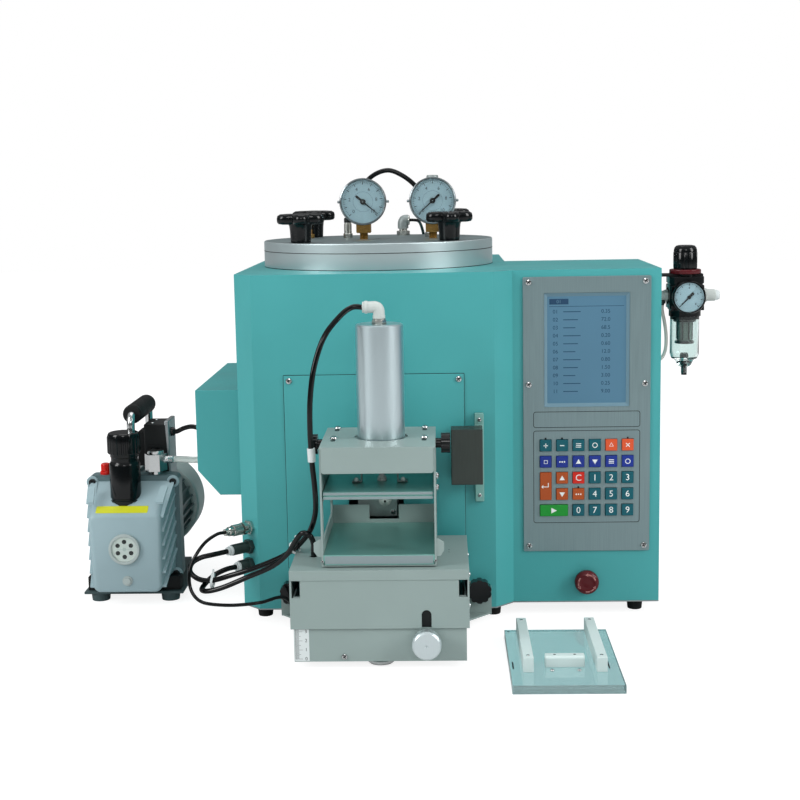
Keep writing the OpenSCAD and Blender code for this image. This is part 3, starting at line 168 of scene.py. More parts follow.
# Local Z up; at the operator, with local Y up; to the right; to the left
upright = placer("Z", 0)
frontward = placer("X", 90)
rightward = placer("Y", 90)
leftward = placer("Y", -90)


def chamferward(z):
    """Local Z points out of the cabinet's left front edge."""
    lie = Matrix.Rotation(math.radians(90), 4, "X")
    return upright(CHAMFER[0], CHAMFER[1], z, -45) @ lie


def moved(place, x, y, z=0):
    return place @ Matrix.Translation((x, y, z))


def spun(place, degrees):
    return place @ Matrix.Rotation(math.radians(degrees), 4, "Z")


def polar(radius, degrees):
    angle = math.radians(degrees)
    return radius * math.cos(angle), radius * math.sin(angle)


def stud(side):
    """The place of one lid stud in plan."""
    x, y = polar(STUD_CIRCLE, STUD_ANGLES[side])
    return POT[0] + x, POT[1] + y


def rounded_box(width, height, radius, steps=6):
    """Corners of a rectangle with rounded corners, round its middle."""
    out = []
    for cx, cy, start in ((1, 1, 0), (-1, 1, 90), (-1, -1, 180), (1, -1, 270)):
        for i in range(steps + 1):
            x, y = polar(radius, start + 90 * i / steps)
            out.append((cx * (width / 2 - radius) + x, cy * (height / 2 - radius) + y))
    return out


def bar(half_x, half_y, y=0):
    """Corners of a plain bar that lies across the middle at height y."""
    return [(-half_x, y - half_y), (half_x, y - half_y), (half_x, y + half_y),
            (-half_x, y + half_y)]


def raised(outline, level):
    return [(x, y, level) for x, y in outline]


def smooth_route(points, per_span=8):
    """A smooth line through the points."""
    line = [Vector(p) for p in points]
    out = []
    for i in range(len(line) - 1):
        before = line[max(i - 1, 0)]
        a, b = line[i], line[i + 1]
        after = line[min(i + 2, len(line) - 1)]
        for k in range(per_span):
            t = k / per_span
            out.append(0.5 * (2 * a + (b - before) * t
                              + (2 * before - 5 * a + 4 * b - after) * t * t
                              + (3 * a - before - 3 * b + after) * t * t * t))
    out.append(line[-1])
    return out


def route_length(points):
    return sum((b - a).length for a, b in zip(points, points[1:])) * 0.001


# ---- Pieces ----

class Form:
    """Gathers the solids of one piece, in millimetres."""

    def __init__(self):
        self.mesh = bmesh.new()
        self.finish = 0

    def add(self, points, faces, place=None):
        """Adds corners and faces; place puts them on the object."""
        place = place or Matrix.Identity(4)
        corners = [self.mesh.verts.new(place @ Vector(p)) for p in points]
        for face in faces:
            made = self.mesh.faces.new([corners[i] for i in face])
            made.material_index = self.finish
            made.smooth = True

    def block(self, low, high, place=None):
        (a, b, c), (d, e, f) = low, high
        points = [(a, b, c), (d, b, c), (d, e, c), (a, e, c),
                  (a, b, f), (d, b, f), (d, e, f), (a, e, f)]
        faces = [(3, 2, 1, 0), (4, 5, 6, 7), (0, 1, 5, 4), (1, 2, 6, 5), (2, 3, 7, 6), (3, 0, 4, 7)]
        self.add(points, faces, place)

    def loft(self, rings, place=None, ends=True):
        """Joins rings that have as many corners each, and closes both ends."""
        count = len(rings[0])
        points = [p for ring in rings for p in ring]
        last = len(points) - count
        faces = [tuple(reversed(range(count))), tuple(range(last, last + count))] if ends else []
        for start in range(0, last, count):
            for i in range(count):
                j = (i + 1) % count
                faces.append((start + i, start + j, start + count + j, start + count + i))
        self.add(points, faces, place)

    def prism(self, outline, low, high, place=None):
        """An outline in local X and Y, raised from low to high."""
        self.loft([raised(outline, low), raised(outline, high)], place)

    def turned(self, profile, place, count=64, squash=None):
        """A turned part: profile is its radius and height from end to end."""
        points = []
        rings = []
        for radius, height in profile:
            if radius < 1e-6:
                rings.append([len(points)])
                points.append((0, 0, height))
                continue
            rings.append(list(range(len(points), len(points) + count)))
            for i in range(count):
                angle = 2 * math.pi * i / count
                reach = radius * (squash(angle) if squash else 1)
                points.append((reach * math.cos(angle), reach * math.sin(angle), height))
        faces = []
        for low, high in zip(rings, rings[1:]):
            for i in range(count):
                j = (i + 1) % count
                if len(low) == 1 and len(high) > 1:
                    faces.append((low[0], high[j], high[i]))
                elif len(high) == 1 and len(low) > 1:
                    faces.append((low[i], low[j], high[0]))
                elif len(low) > 1:
                    faces.append((low[i], low[j], high[j], high[i]))
        self.add(points, faces, place)

    def rod(self, radius, low, high, place, count):
        self.turned([(0, low), (radius, low), (radius, high), (0, high)], place, count)

    def collar(self, inner, outer, low, high, place, count):
        self.turned([(inner, low), (outer, low), (outer, high), (inner, high), (inner, low)],
                    place, count)

    def pipe(self, line, radius, count=20):
        """A round tube along a line."""
        line = [Vector(p) for p in line]
        last = len(line) - 1
        side = Vector((0, 1, 0.1))
        rings = []
        for i, spot in enumerate(line):
            along = (line[min(i + 1, last)] - line[max(i - 1, 0)]).normalized()
            side = (side - side.dot(along) * along).normalized()
            other = along.cross(side)
            ring = []
            for k in range(count):
                angle = 2 * math.pi * k / count
                ring.append(spot + radius * (math.cos(angle) * side + math.sin(angle) * other))
            rings.append(ring)
        self.loft(rings)

    def hexagon(self, across, low, high, place):
        """A hexagonal nut or foot with slightly turned-off corners."""
        rings = []
        for width, level in ((0.92, low), (1, low + 0.5), (1, high - 0.5), (0.92, high)):
            rings.append(raised([polar(across * width / 2, 60 * i) for i in range(6)], level))
        self.loft(rings, place)

    def knurled(self, radius, low, high, teeth, depth, place):
        """A round grip with fine straight knurling and turned-off ends."""
        count = teeth * 2
        rings = []
        for level, reach, cut in ((low, radius - 1.0, 0), (low + 0.9, radius, depth),
                                  (high - 0.9, radius, depth), (high, radius - 1.0, 0)):
            ring = []
            for i in range(count):
                angle = 2 * math.pi * i / count
                r = reach - (cut if i % 2 else 0)
                ring.append((r * math.cos(angle), r * math.sin(angle), level))
            rings.append(ring)
        self.loft(rings, place)

    def screw(self, place, radius=3.2, height=2.0):
        """A round-headed screw in finishes 0 and 1; its cross slot is black bars flush with the head,
        painted shade for the recess.
        """
        self.finish = 0
        self.turned([(0, -0.4), (radius, -0.4), (radius, 0.25 * height),
                     (0.85 * radius, 0.7 * height), (0.5 * radius, 0.95 * height), (0, height)],
                    place, 28)
        # The cross slot: black bars as painted shade in the recess
        self.finish = 1
        arm, half = 0.58 * radius, 0.13 * radius
        top = height + 0.02
        self.block((-arm, -half, top - 0.4), (arm, half, top), place)
        self.block((-half, -arm, top - 0.4), (half, arm, top), place)

    def figures(self, text, size, place, depth=0.06):
        """Raised figures or signs in the plane of local X and Y."""
        curve = bpy.data.curves.new("figures", "FONT")
        curve.body = text
        curve.size = size
        curve.align_x = "CENTER"
        curve.align_y = "CENTER"
        curve.extrude = depth / 2
        curve.resolution_u = 4
        holder = bpy.data.objects.new("figures", curve)
        bpy.context.scene.collection.objects.link(holder)
        bpy.context.view_layer.update()
        seen = holder.evaluated_get(bpy.context.evaluated_depsgraph_get())
        mesh = seen.to_mesh()
        points = [tuple(v.co) for v in mesh.vertices]
        faces = [tuple(p.vertices) for p in mesh.polygons]
        seen.to_mesh_clear()
        self.add(points, faces, place)
        bpy.data.objects.remove(holder)
        bpy.data.curves.remove(curve)


def give_finishes(mesh, finishes):
    for key in ([finishes] if isinstance(finishes, str) else finishes):
        mesh.materials.append(finish(key))


def settle(form, name, finishes, body, stands_for=(), edge=0.0, angle=35):
    """Makes the piece and puts it on the body that carries it."""
    bmesh.ops.remove_doubles(form.mesh, verts=form.mesh.verts, dist=0.0005)
    bmesh.ops.recalc_face_normals(form.mesh, faces=form.mesh.faces)
    for corner in form.mesh.verts:
        corner.co = at(*corner.co)
    mesh = bpy.data.meshes.new(name)
    form.mesh.to_mesh(mesh)
    form.mesh.free()
    mesh.set_sharp_from_angle(angle=math.radians(angle))
    give_finishes(mesh, finishes)
    piece = bpy.data.objects.new(name, mesh)
    bpy.context.scene.collection.objects.link(piece)
    if edge:
        soften(piece, edge)
    if body:
        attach(piece, body)
    if stands_for:
        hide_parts(*stands_for)
    return piece


def soften(piece, edge):
    """Small rounded edges that catch the light."""
    bevel = piece.modifiers.new("rounded edges", "BEVEL")
    bevel.width = edge * 0.001
    bevel.segments = 2
    bevel.limit_method = "ANGLE"
    bevel.angle_limit = math.radians(32)
    bevel.harden_normals = True


def dress(node, finishes, edge, choose=None):
    """Gives a CAD solid its finish and its rounded edges; choose picks a face's finish."""
    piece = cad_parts[node]
    mesh = piece.data
    mesh.materials.clear()
    give_finishes(mesh, finishes)
    if "custom_normal" in mesh.attributes:
        mesh.attributes.remove(mesh.attributes["custom_normal"])
    for face in mesh.polygons:
        face.use_smooth = True
        face.material_index = 0
        if choose:
            middle = Vector(face.center) * 1000 + ORIGIN
            face.material_index = int(choose(middle, face.normal))
    weld = piece.modifiers.new("joined corners", "WELD")
    weld.merge_threshold = 0.00001
    flat = piece.modifiers.new("plain faces", "DECIMATE")
    flat.decimate_type = "DISSOLVE"
    flat.angle_limit = math.radians(1)
    flat.delimit = {"MATERIAL"}
    if edge:
        soften(piece, edge)
    shading = piece.modifiers.new("even shading", "WEIGHTED_NORMAL")
    shading.keep_sharp = True


# ---- Finishes ----

# name: colour, metallic, roughness, colour play, roughness play, grain per metre, bump, and
# for drawn or brushed metal the stretch of its grain
FINISHES = {
    "teal_paint": ((70, 160, 161), 0.0, 0.40, 0.03, 0.06, 900, 0.05),
    "grey_paint": ((143, 160, 157), 0.0, 0.42, 0.03, 0.06, 1100, 0.06),
    "zinc_sheet": ((165, 170, 172), 0.9, 0.42, 0.10, 0.10, 60, 0.02),
    "rail_steel": ((60, 67, 63), 0.35, 0.42, 0.10, 0.10, 500, 0.05, (1, 1, 0.1)),
    "cast_grey": ((146, 156, 155), 0.45, 0.45, 0.06, 0.10, 700, 0.08),
    "brushed_panel": ((130, 151, 154), 0.6, 0.38, 0.07, 0.08, 900, 0.03, (1, 1, 0.02)),
    # Milled aluminium tinted teal: painted reflection of the teal cabinet
    "milled_aluminium": ((130, 182, 174), 0.6, 0.36, 0.02, 0.03, 500, 0.01),
    "turned_aluminium": ((208, 222, 224), 0.9, 0.36, 0.02, 0.04, 60, 0.0),
    "white_anodised": ((214, 226, 228), 0.75, 0.34, 0.02, 0.05, 900, 0.03, (1, 1, 0.1)),
    "bright_steel": ((205, 208, 208), 1.0, 0.16, 0.03, 0.08, 300, 0.02),
    "nickel": ((196, 198, 192), 1.0, 0.22, 0.04, 0.10, 400, 0.03),
    # Near-white and barely metallic: painted sheen for the bright chrome nozzle
    "nozzle_metal": ((236, 242, 236), 0.3, 0.18, 0.04, 0.10, 500, 0.03),
    "stem_brass": ((190, 152, 88), 1.0, 0.26, 0.08, 0.12, 400, 0.04),
    "black_rubber": ((13, 17, 18), 0.0, 0.62, 0.20, 0.10, 900, 0.15),
    "black_plastic": ((5, 9, 11), 0.0, 0.13, 0.20, 0.06, 700, 0.04),
    "matt_black": ((14, 18, 19), 0.0, 0.48, 0.20, 0.10, 900, 0.12),
    "hose_black": ((4, 7, 8), 0.0, 0.12, 0.20, 0.06, 500, 0.02),
    "lid_face": ((128, 144, 146), 0.7, 0.42, 0.03, 0.05, 700, 0.03),
    "cylinder_metal": ((206, 222, 226), 1.0, 0.31, 0.01, 0.01, 900, 0.0),
    # Near-white and barely metallic: painted sheen that keeps the piston rod, its nut and the rivets
    # bright in the shade under the head
    "rod_metal": ((238, 244, 242), 0.2, 0.25, 0.02, 0.04, 500, 0.02),
    "edge_metal": ((150, 166, 169), 0.6, 0.34, 0.02, 0.04, 900, 0.03),
    "gauge_rim": ((150, 160, 163), 1.0, 0.20, 0.03, 0.05, 500, 0.02),
    "socket_dark": ((62, 76, 74), 0.6, 0.30, 0.05, 0.06, 500, 0.03),
    "pale_grey": ((196, 204, 200), 0.0, 0.36, 0.04, 0.06, 500, 0.03),
    "seal_white": ((225, 222, 214), 0.0, 0.50, 0.03, 0.08, 500, 0.05),
    "tie_white": ((214, 222, 222), 0.0, 0.40, 0.03, 0.06, 500, 0.04),
    "screen": ((78, 120, 144), 0.0, 0.50, 0.03, 0.03, 200, 0.0),
    "screen_ink": ((38, 68, 96), 0.0, 0.20, 0.05, 0.05, 300, 0.0),
    "screen_frame": ((104, 136, 150), 0.0, 0.32, 0.03, 0.05, 400, 0.02),
    "key_navy": ((20, 48, 140), 0.0, 0.34, 0.05, 0.05, 800, 0.05),
    "key_teal": ((0, 88, 100), 0.0, 0.34, 0.05, 0.05, 800, 0.05),
    "key_orange": ((214, 84, 44), 0.0, 0.34, 0.05, 0.05, 800, 0.05),
    "key_brown": ((176, 78, 26), 0.0, 0.34, 0.05, 0.05, 800, 0.05),
    "key_red": ((208, 36, 20), 0.0, 0.34, 0.05, 0.05, 800, 0.05),
    "key_green": ((16, 146, 46), 0.0, 0.34, 0.05, 0.05, 800, 0.05),
    "print_white": ((236, 240, 238), 0.0, 0.50, 0.02, 0.05, 500, 0.0),
    "print_black": ((18, 22, 24), 0.0, 0.50, 0.05, 0.05, 500, 0.0),
    "stop_red": ((82, 12, 20), 0.0, 0.22, 0.08, 0.05, 500, 0.02),
    "stop_mark": ((176, 120, 116), 0.0, 0.30, 0.05, 0.05, 500, 0.0),
    "cap_red": ((206, 30, 20), 0.0, 0.26, 0.05, 0.06, 500, 0.03),
    "pump_paint": ((152, 176, 182), 0.0, 0.36, 0.05, 0.08, 420, 0.16),
    "pump_shade": ((90, 114, 118), 0.0, 0.40, 0.06, 0.08, 420, 0.16),
    "pump_dark": ((66, 84, 86), 0.0, 0.46, 0.08, 0.08, 420, 0.18),
    "motor_paint": ((172, 184, 182), 0.0, 0.42, 0.04, 0.06, 900, 0.06),
    "label_yellow": ((204, 206, 22), 0.0, 0.34, 0.04, 0.06, 300, 0.0),
    "dial_white": ((144, 170, 181), 0.0, 0.45, 0.01, 0.05, 300, 0.0),
    "needle_black": ((14, 16, 18), 0.0, 0.40, 0.05, 0.05, 300, 0.0),
    "nylon": ((204, 220, 218), 0.0, 0.42, 0.02, 0.06, 300, 0.03),
    "filter_white": ((112, 126, 120), 0.0, 0.60, 0.04, 0.06, 900, 0.20),
}

# name: tint, roughness, transmission, refraction
CLEAR = {
    "clear_bowl": ((226, 238, 236), 0.08, 1.0, 1.49),
    "clear_acrylic": ((150, 192, 194), 0.05, 1.0, 1.49),
    "clear_hose": ((226, 234, 230), 0.16, 0.5, 1.49),
    "glass": ((246, 250, 249), 0.02, 1.0, 1.1),
}

# Grain per metre of the broad colour play on surfaces that have no direction
BROAD_GRAIN = 14


def linear(value):
    """One channel of a colour from 0 to 255 as Blender's linear value."""
    value = value / 255
    if value <= 0.04045:
        return value / 12.92
    return ((value + 0.055) / 1.055) ** 2.4


def rgb(red, green, blue):
    return (linear(red), linear(green), linear(blue))


def feed(tree, node, sockets):
    """Gives each named socket its value, or a link from another node's output."""
    for key, value in sockets.items():
        if isinstance(value, bpy.types.NodeSocket):
            tree.links.new(value, node.inputs[key])
        else:
            node.inputs[key].default_value = value


def put(tree, kind, sockets=None, **settings):
    """A new node with its settings and its sockets fed."""
    made = tree.nodes.new("ShaderNode" + kind)
    for key, value in settings.items():
        setattr(made, key, value)
    feed(tree, made, sockets or {})
    return made


def grain(tree, scale, stretch):
    """Noise over the object's own place, in grains per metre."""
    spot = put(tree, "TexCoord")
    spread = put(tree, "Mapping", {"Vector": spot.outputs["Object"],
                                   "Scale": stretch or (1, 1, 1)})
    noise = put(tree, "TexNoise", {"Vector": spread.outputs["Vector"], "Scale": scale,
                                   "Detail": 4.0})
    return noise.outputs["Fac"]


def ramp(tree, source, *marks):
    """Colours led by the source; each mark is its place and colour, from low to high."""
    made = put(tree, "ValToRGB", {"Fac": source})
    elements = made.color_ramp.elements
    for element, (place, colour) in zip((elements[0], elements[1]), (marks[0], marks[-1])):
        element.position = place
        element.color = (*colour, 1)
    for place, colour in marks[1:-1]:
        elements.new(place).color = (*colour, 1)
    return made.outputs["Color"]


def span(tree, source, start, end, low, high):
    """The source's range from start to end, spread from low to high."""
    made = put(tree, "MapRange", {"Value": source, "From Min": start, "From Max": end,
                                  "To Min": low, "To Max": high})
    return made.outputs["Result"]


def relief(tree, source, strength, depth):
    made = put(tree, "Bump", {"Height": source, "Strength": strength, "Distance": depth})
    return made.outputs["Normal"]


def mix(tree, share, first, second):
    return put(tree, "MixShader", {0: share, 1: first, 2: second}).outputs["Shader"]


def camera_or_through(tree, path):
    """1 for rays that come from the camera or through something clear."""
    either = put(tree, "Math", {0: path.outputs["Is Camera Ray"],
                                1: path.outputs["Is Transmission Ray"]}, operation="MAXIMUM")
    return either.outputs["Value"]


def finish(key):
    """The finish by its name, made once."""
    name = "injector " + key
    if name in bpy.data.materials:
        return bpy.data.materials[name]
    if key in CLEAR:
        tint, rough, transmission, refraction = CLEAR[key]
        made = surface(name, rgb(*tint), 0.0, rough, 0.01, 0.02, 600, 0.02)
        feed(made.node_tree, made.node_tree.nodes["Principled BSDF"],
             {"Transmission Weight": transmission, "IOR": refraction})
        return made
    looks = bpy.context.scene.injector_looks
    paints = {"teal_paint": looks.cabinet, "grey_paint": looks.clamp}
    colour, *rest = FINISHES[key]
    made = surface(name, tuple(paints[key] if key in paints else rgb(*colour)), *rest)
    if key == "turned_aluminium":
        add_turned_rings(made.node_tree)
    return made


def surface(name, colour, metallic, rough, play, rough_play, scale, bump, stretch=None):
    """A surface with its own grain in colour, gloss and relief."""
    made = bpy.data.materials.new(name)
    made.use_nodes = True
    made.diffuse_color = (*colour, 1)
    tree = made.node_tree
    shader = tree.nodes["Principled BSDF"]
    broad = grain(tree, scale if stretch else BROAD_GRAIN, stretch)
    low = tuple(c * (1 - play) for c in colour)
    high = tuple(min(c * (1 + play), 1) for c in colour)
    feed(tree, shader, {
        "Metallic": metallic,
        "Specular IOR Level": 0.5 if metallic else 0.35,
        "Base Color": ramp(tree, broad, (0.3, low), (0.7, high)),
        "Roughness": span(tree, broad, 0.3, 0.7, max(rough - rough_play, 0.05),
                          rough + rough_play)})
    if bump:
        fine = grain(tree, scale, stretch)
        feed(tree, shader, {"Normal": relief(tree, fine, bump, 0.0004)})
    return made


def add_turned_rings(tree):
    """Fine rings round the pot's axis, as a lathe leaves them."""
    middle = at(*POT, 0)
    spot = put(tree, "TexCoord")
    shift = put(tree, "Mapping", {"Vector": spot.outputs["Object"],
                                  "Location": (-middle.x, -middle.y, 0)})
    rings = put(tree, "TexWave", {"Vector": shift.outputs["Vector"], "Scale": 320,
                                  "Distortion": 0.6, "Detail": 2},
                wave_type="RINGS", rings_direction="Z")
    feed(tree, tree.nodes["Principled BSDF"],
         {"Anisotropic": 0.45, "Normal": relief(tree, rings.outputs["Fac"], 0.07, 0.0003)})


# ---- Settings ----

class InjectorStage(bpy.types.PropertyGroup):
    """Light and floor."""
    floor: FloatProperty(name="Floor size", description="Side of the floor under the object",
                         default=14.0, min=2.0, max=40.0, unit="LENGTH")
    key_light: FloatProperty(name="Key light", description="Power of the large light at the left",
                             default=52.0, min=0.0, max=400.0, unit="POWER")
    side_light: FloatProperty(name="Side light", description="Power of the light at the right",
                              default=52.0, min=0.0, max=400.0, unit="POWER")
    front_light: FloatProperty(name="Front light", description="Power of the light over the camera",
                               default=10.0, min=0.0, max=400.0, unit="POWER")
    top_light: FloatProperty(name="Top light", description="Power of the light overhead",
                             default=17.0, min=0.0, max=400.0, unit="POWER")
    room_light: FloatProperty(name="Room light", description="Even light from all round",
                              default=0.59, min=0.0, max=2.0)


class InjectorLooks(bpy.types.PropertyGroup):
    """Paints and edge rounding."""
    cabinet: FloatVectorProperty(name="Cabinet paint", description="Colour of the cabinet",
                                 default=rgb(*FINISHES["teal_paint"][0]), min=0, max=1,
                                 subtype="COLOR")
    clamp: FloatVectorProperty(name="Clamp paint", description="Colour of the clamp",
                               default=rgb(*FINISHES["grey_paint"][0]), min=0, max=1,
                               subtype="COLOR")
    edge: FloatProperty(name="Sheet edge", description="Rounding of the sheet-metal edges",
                        default=0.0007, min=0.0, max=0.003, unit="LENGTH", precision=4)


class InjectorHoses(bpy.types.PropertyGroup):
    """Hoses and cables."""
    air: FloatProperty(name="Air hose", description="Diameter of the air hoses",
                       default=0.006, min=0.004, max=0.008, unit="LENGTH", precision=4)
    cable: FloatProperty(name="Thin cable", description="Diameter of the cable and thin hoses",
                         default=0.004, min=0.003, max=0.006, unit="LENGTH", precision=4)
    vacuum: FloatProperty(name="Vacuum hose", description="Diameter of the vacuum hose",
                          default=0.008, min=0.006, max=0.01, unit="LENGTH", precision=4)


# ---- Stage ----

# The photograph's camera: its place in millimetres, its yaw, pitch and roll in degrees, its
# focal length in widths of the picture, and how far the picture is shifted
CAMERA_SPOT = (78.70, -1599.08, 510.89)
CAMERA_TURN = (1.74, 8.28, -0.98)
CAMERA_REACH = 1404.04 / 800
CAMERA_SHIFT = (0.00011, -0.01515)
SENSOR = 36.0

# What metal and glass show: a pale room with darker walls near the horizon, from straight
# down at 0 to straight up at 1
ROOM_WALLS = [(0.0, (0.34, 0.35, 0.35))] + [
    (height, (level, level * 1.01, level * 1.02))
    for height, level in ((0.48, 0.26), (0.53, 0.09), (0.60, 0.14), (0.70, 0.42))
] + [(1.0, (0.62, 0.63, 0.64))]


def set_camera():
    """The camera at the photograph's place."""
    yaw, pitch, roll = (math.radians(turn) for turn in CAMERA_TURN)
    ahead = Vector((-math.sin(yaw) * math.cos(pitch), math.cos(yaw) * math.cos(pitch),
                    -math.sin(pitch)))
    level = Vector((math.cos(yaw), math.sin(yaw), 0))
    steep = level.cross(ahead)
    right = math.cos(roll) * level + math.sin(roll) * steep
    up = -math.sin(roll) * level + math.cos(roll) * steep
    lens = bpy.data.cameras.new("camera")
    lens.sensor_width = SENSOR
    lens.lens = CAMERA_REACH * SENSOR
    lens.shift_x, lens.shift_y = CAMERA_SHIFT
    lens.clip_end = 60
    camera = bpy.data.objects.new("camera", lens)
    turn = Matrix((right, up, -ahead)).transposed().to_4x4()
    camera.matrix_world = Matrix.Translation(at(*CAMERA_SPOT)) @ turn
    bpy.context.scene.collection.objects.link(camera)
    bpy.context.scene.camera = camera


def add_lamp(name, spot, aim, size, power):
    """A soft rectangular light."""
    lamp = bpy.data.lights.new(name, "AREA")
    lamp.shape = "RECTANGLE"
    lamp.size, lamp.size_y = size
    lamp.energy = power
    holder = bpy.data.objects.new(name, lamp)
    holder.location = spot
    holder.rotation_euler = (Vector(aim) - Vector(spot)).to_track_quat("-Z", "Y").to_euler()
    bpy.context.scene.collection.objects.link(holder)


class OBJECT_OT_injector_stage(bpy.types.Operator):
    """Adds the camera, the lights, the floor and the white room."""
    bl_idname = "object.injector_stage"
    bl_label = "Stage"

    def execute(self, context):
        scene = context.scene
        stage = scene.injector_stage
        set_camera()
        scene.view_settings.view_transform = "Standard"
        self.room(scene, stage.room_light)
        half = stage.floor / 2
        mesh = bpy.data.meshes.new("floor")
        mesh.from_pydata([(-half, -half, 0), (half, -half, 0), (half, half, 0),
                          (-half, half, 0)], [], [(0, 1, 2, 3)])
        mesh.materials.append(self.floor_finish())
        floor = bpy.data.objects.new("floor", mesh)
        scene.collection.objects.link(floor)
        middle = (0, 0, 0.25)
        add_lamp("key light", (-2.7, -1.65, 1.7), middle, (1.3, 1.7), stage.key_light)
        add_lamp("side light", (2.75, -1.4, 1.6), (0.1, 0, 0.25), (1.2, 1.8), stage.side_light)
        add_lamp("front light", (0.15, -3.0, 1.7), middle, (1.0, 0.6), stage.front_light)
        add_lamp("top light", (0.0, 0.3, 2.8), (0, 0, 0.2), (2.2, 1.8), stage.top_light)
        return {"FINISHED"}

    def room(self, scene, strength):
        """White to the camera, walls to metal and glass, and even light to the rest."""
        world = bpy.data.worlds.new("white room")
        scene.world = world
        world.use_nodes = True
        tree = world.node_tree
        tree.nodes.clear()
        path = put(tree, "LightPath")
        spot = put(tree, "TexCoord")
        split = put(tree, "SeparateXYZ", {"Vector": spot.outputs["Generated"]})
        height = span(tree, split.outputs["Z"], -1.0, 1.0, 0.0, 1.0)

        def background(colour, power):
            made = put(tree, "Background", {"Color": colour, "Strength": power})
            return made.outputs["Background"]

        lighting = background((0.96, 0.98, 1.0, 1), strength)
        mirrored = background(ramp(tree, height, *ROOM_WALLS), 0.9)
        glossy = mix(tree, path.outputs["Is Glossy Ray"], lighting, mirrored)
        white = background((1, 1, 1, 1), 1.0)
        final = mix(tree, camera_or_through(tree, path), glossy, white)
        put(tree, "OutputWorld", {"Surface": final})

    def floor_finish(self):
        """Plain white floor that keeps a soft shadow."""
        made = bpy.data.materials.new("floor")
        made.use_nodes = True
        tree = made.node_tree
        tree.nodes.clear()
        plain, shaded = (put(tree, "BsdfDiffuse", {"Color": (level, level, level, 1)})
                         for level in (0.62, 0.30))
        glow = put(tree, "Emission", {"Color": (1, 1, 1, 1), "Strength": 0.86})
        both = put(tree, "AddShader", {0: shaded.outputs["BSDF"], 1: glow.outputs["Emission"]})
        seen = camera_or_through(tree, put(tree, "LightPath"))
        final = mix(tree, seen, plain.outputs["BSDF"], both.outputs["Shader"])
        put(tree, "OutputMaterial", {"Surface": final})
        return made


# ---- Hoses and cables ----

def tube(name, points, diameter, key, slot):
    """A hose along its route: the piece, and the line that it follows."""
    line = smooth_route(points)
    form = Form()
    form.pipe(line, diameter * 500)
    return settle(form, name, key, None), line


class OBJECT_OT_injector_hoses(bpy.types.Operator):
    """Lays the hoses and cables with their ties and sleeve."""
    bl_idname = "object.injector_hoses"
    bl_label = "Hoses and cables"

    def execute(self, context):
        sizes = context.scene.injector_hoses
        middle = self.tie("tie_middle", CLAMP_HOSE[11:13], 6.6, "lift", (-1.5, -3, 0.5))
        corner = self.tie("tie_corner", CLAMP_HOSE[15:17], 6.0, "cabinet", (0, 0, -2))
        sleeve = self.sleeve()
        black = ("hose_black", "hose_black")
        upper, line = tube("clamp_hose_upper", CLAMP_HOSE[:12], sizes.air, *black)
        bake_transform(upper)
        self.declare(upper, line, sizes.air, [sleeve], "taut")
        lower, line = tube("clamp_hose_lower", CLAMP_HOSE[:10:-1], sizes.air, *black)
        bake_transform(lower)
        self.declare(lower, line, sizes.air, [middle, corner], "hanging")
        table, line = tube("table_hose", TABLE_HOSE, sizes.air, *black)
        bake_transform(table)
        self.declare(table, line, sizes.air, [], "hanging")
        for name, points, diameter, key, slot in (
                ("thin_cable", THIN_CABLE, sizes.cable, *black),
                ("pump_lead", PUMP_LEAD, sizes.air, *black),
                ("vacuum_hose", VACUUM_HOSE, sizes.vacuum, "clear_hose", "hose_black"),
                ("bleed_tube", BLEED_TUBE, 0.004, "seal_white", "seal_white")):
            piece, line = tube(name, points, diameter, key, slot)
            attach(piece, "cabinet")
            self.declare(piece, line, diameter, [], "hanging")
        for name, points, diameter in (("lid_hose", LID_HOSE, sizes.air),
                                       ("lid_thin_hose", THIN_HOSE, sizes.cable)):
            piece, line = tube(name, points, diameter, *black)
            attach(piece, "lid")
            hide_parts("lid_hoses")
        return {"FINISHED"}

    def declare(self, piece, line, diameter, extras, lay):
        """Hides the CAD hose loom, and stops early for a stub of under six diameters."""
        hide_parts("hose_loom")
        if route_length(line) < 6 * diameter:
            return

    def tie(self, name, stretch, radius, body, shift):
        """A white cable tie round the bundle, with its head and cut end."""
        spot, after = (Vector(p) for p in stretch)
        turn = Vector((0, 0, 1)).rotation_difference((after - spot).normalized())
        place = Matrix.Translation(spot + Vector(shift)) @ turn.to_matrix().to_4x4()
        form = Form()
        form.collar(radius, radius + 1, -1.4, 1.4, place, 40)
        form.block((radius, -2.2, -2), (radius + 4, 2.2, 2), place)
        form.block((radius + 3.5, -0.5, -1.2), (radius + 9, 0.5, 1.2), place)
        return settle(form, name, "tie_white", body, edge=0.3)

    def sleeve(self):
        """A pale sleeve on the clamp hose, beside the head."""
        form = Form()
        form.pipe([(-62.6, -123.6, 232), (-62.3, -123.3, 225), (-62, -123, 217)], 4.3, 24)
        return settle(form, "hose_sleeve", "tie_white", "clamp", edge=0.4)


# ---- The solids' own finishes ----

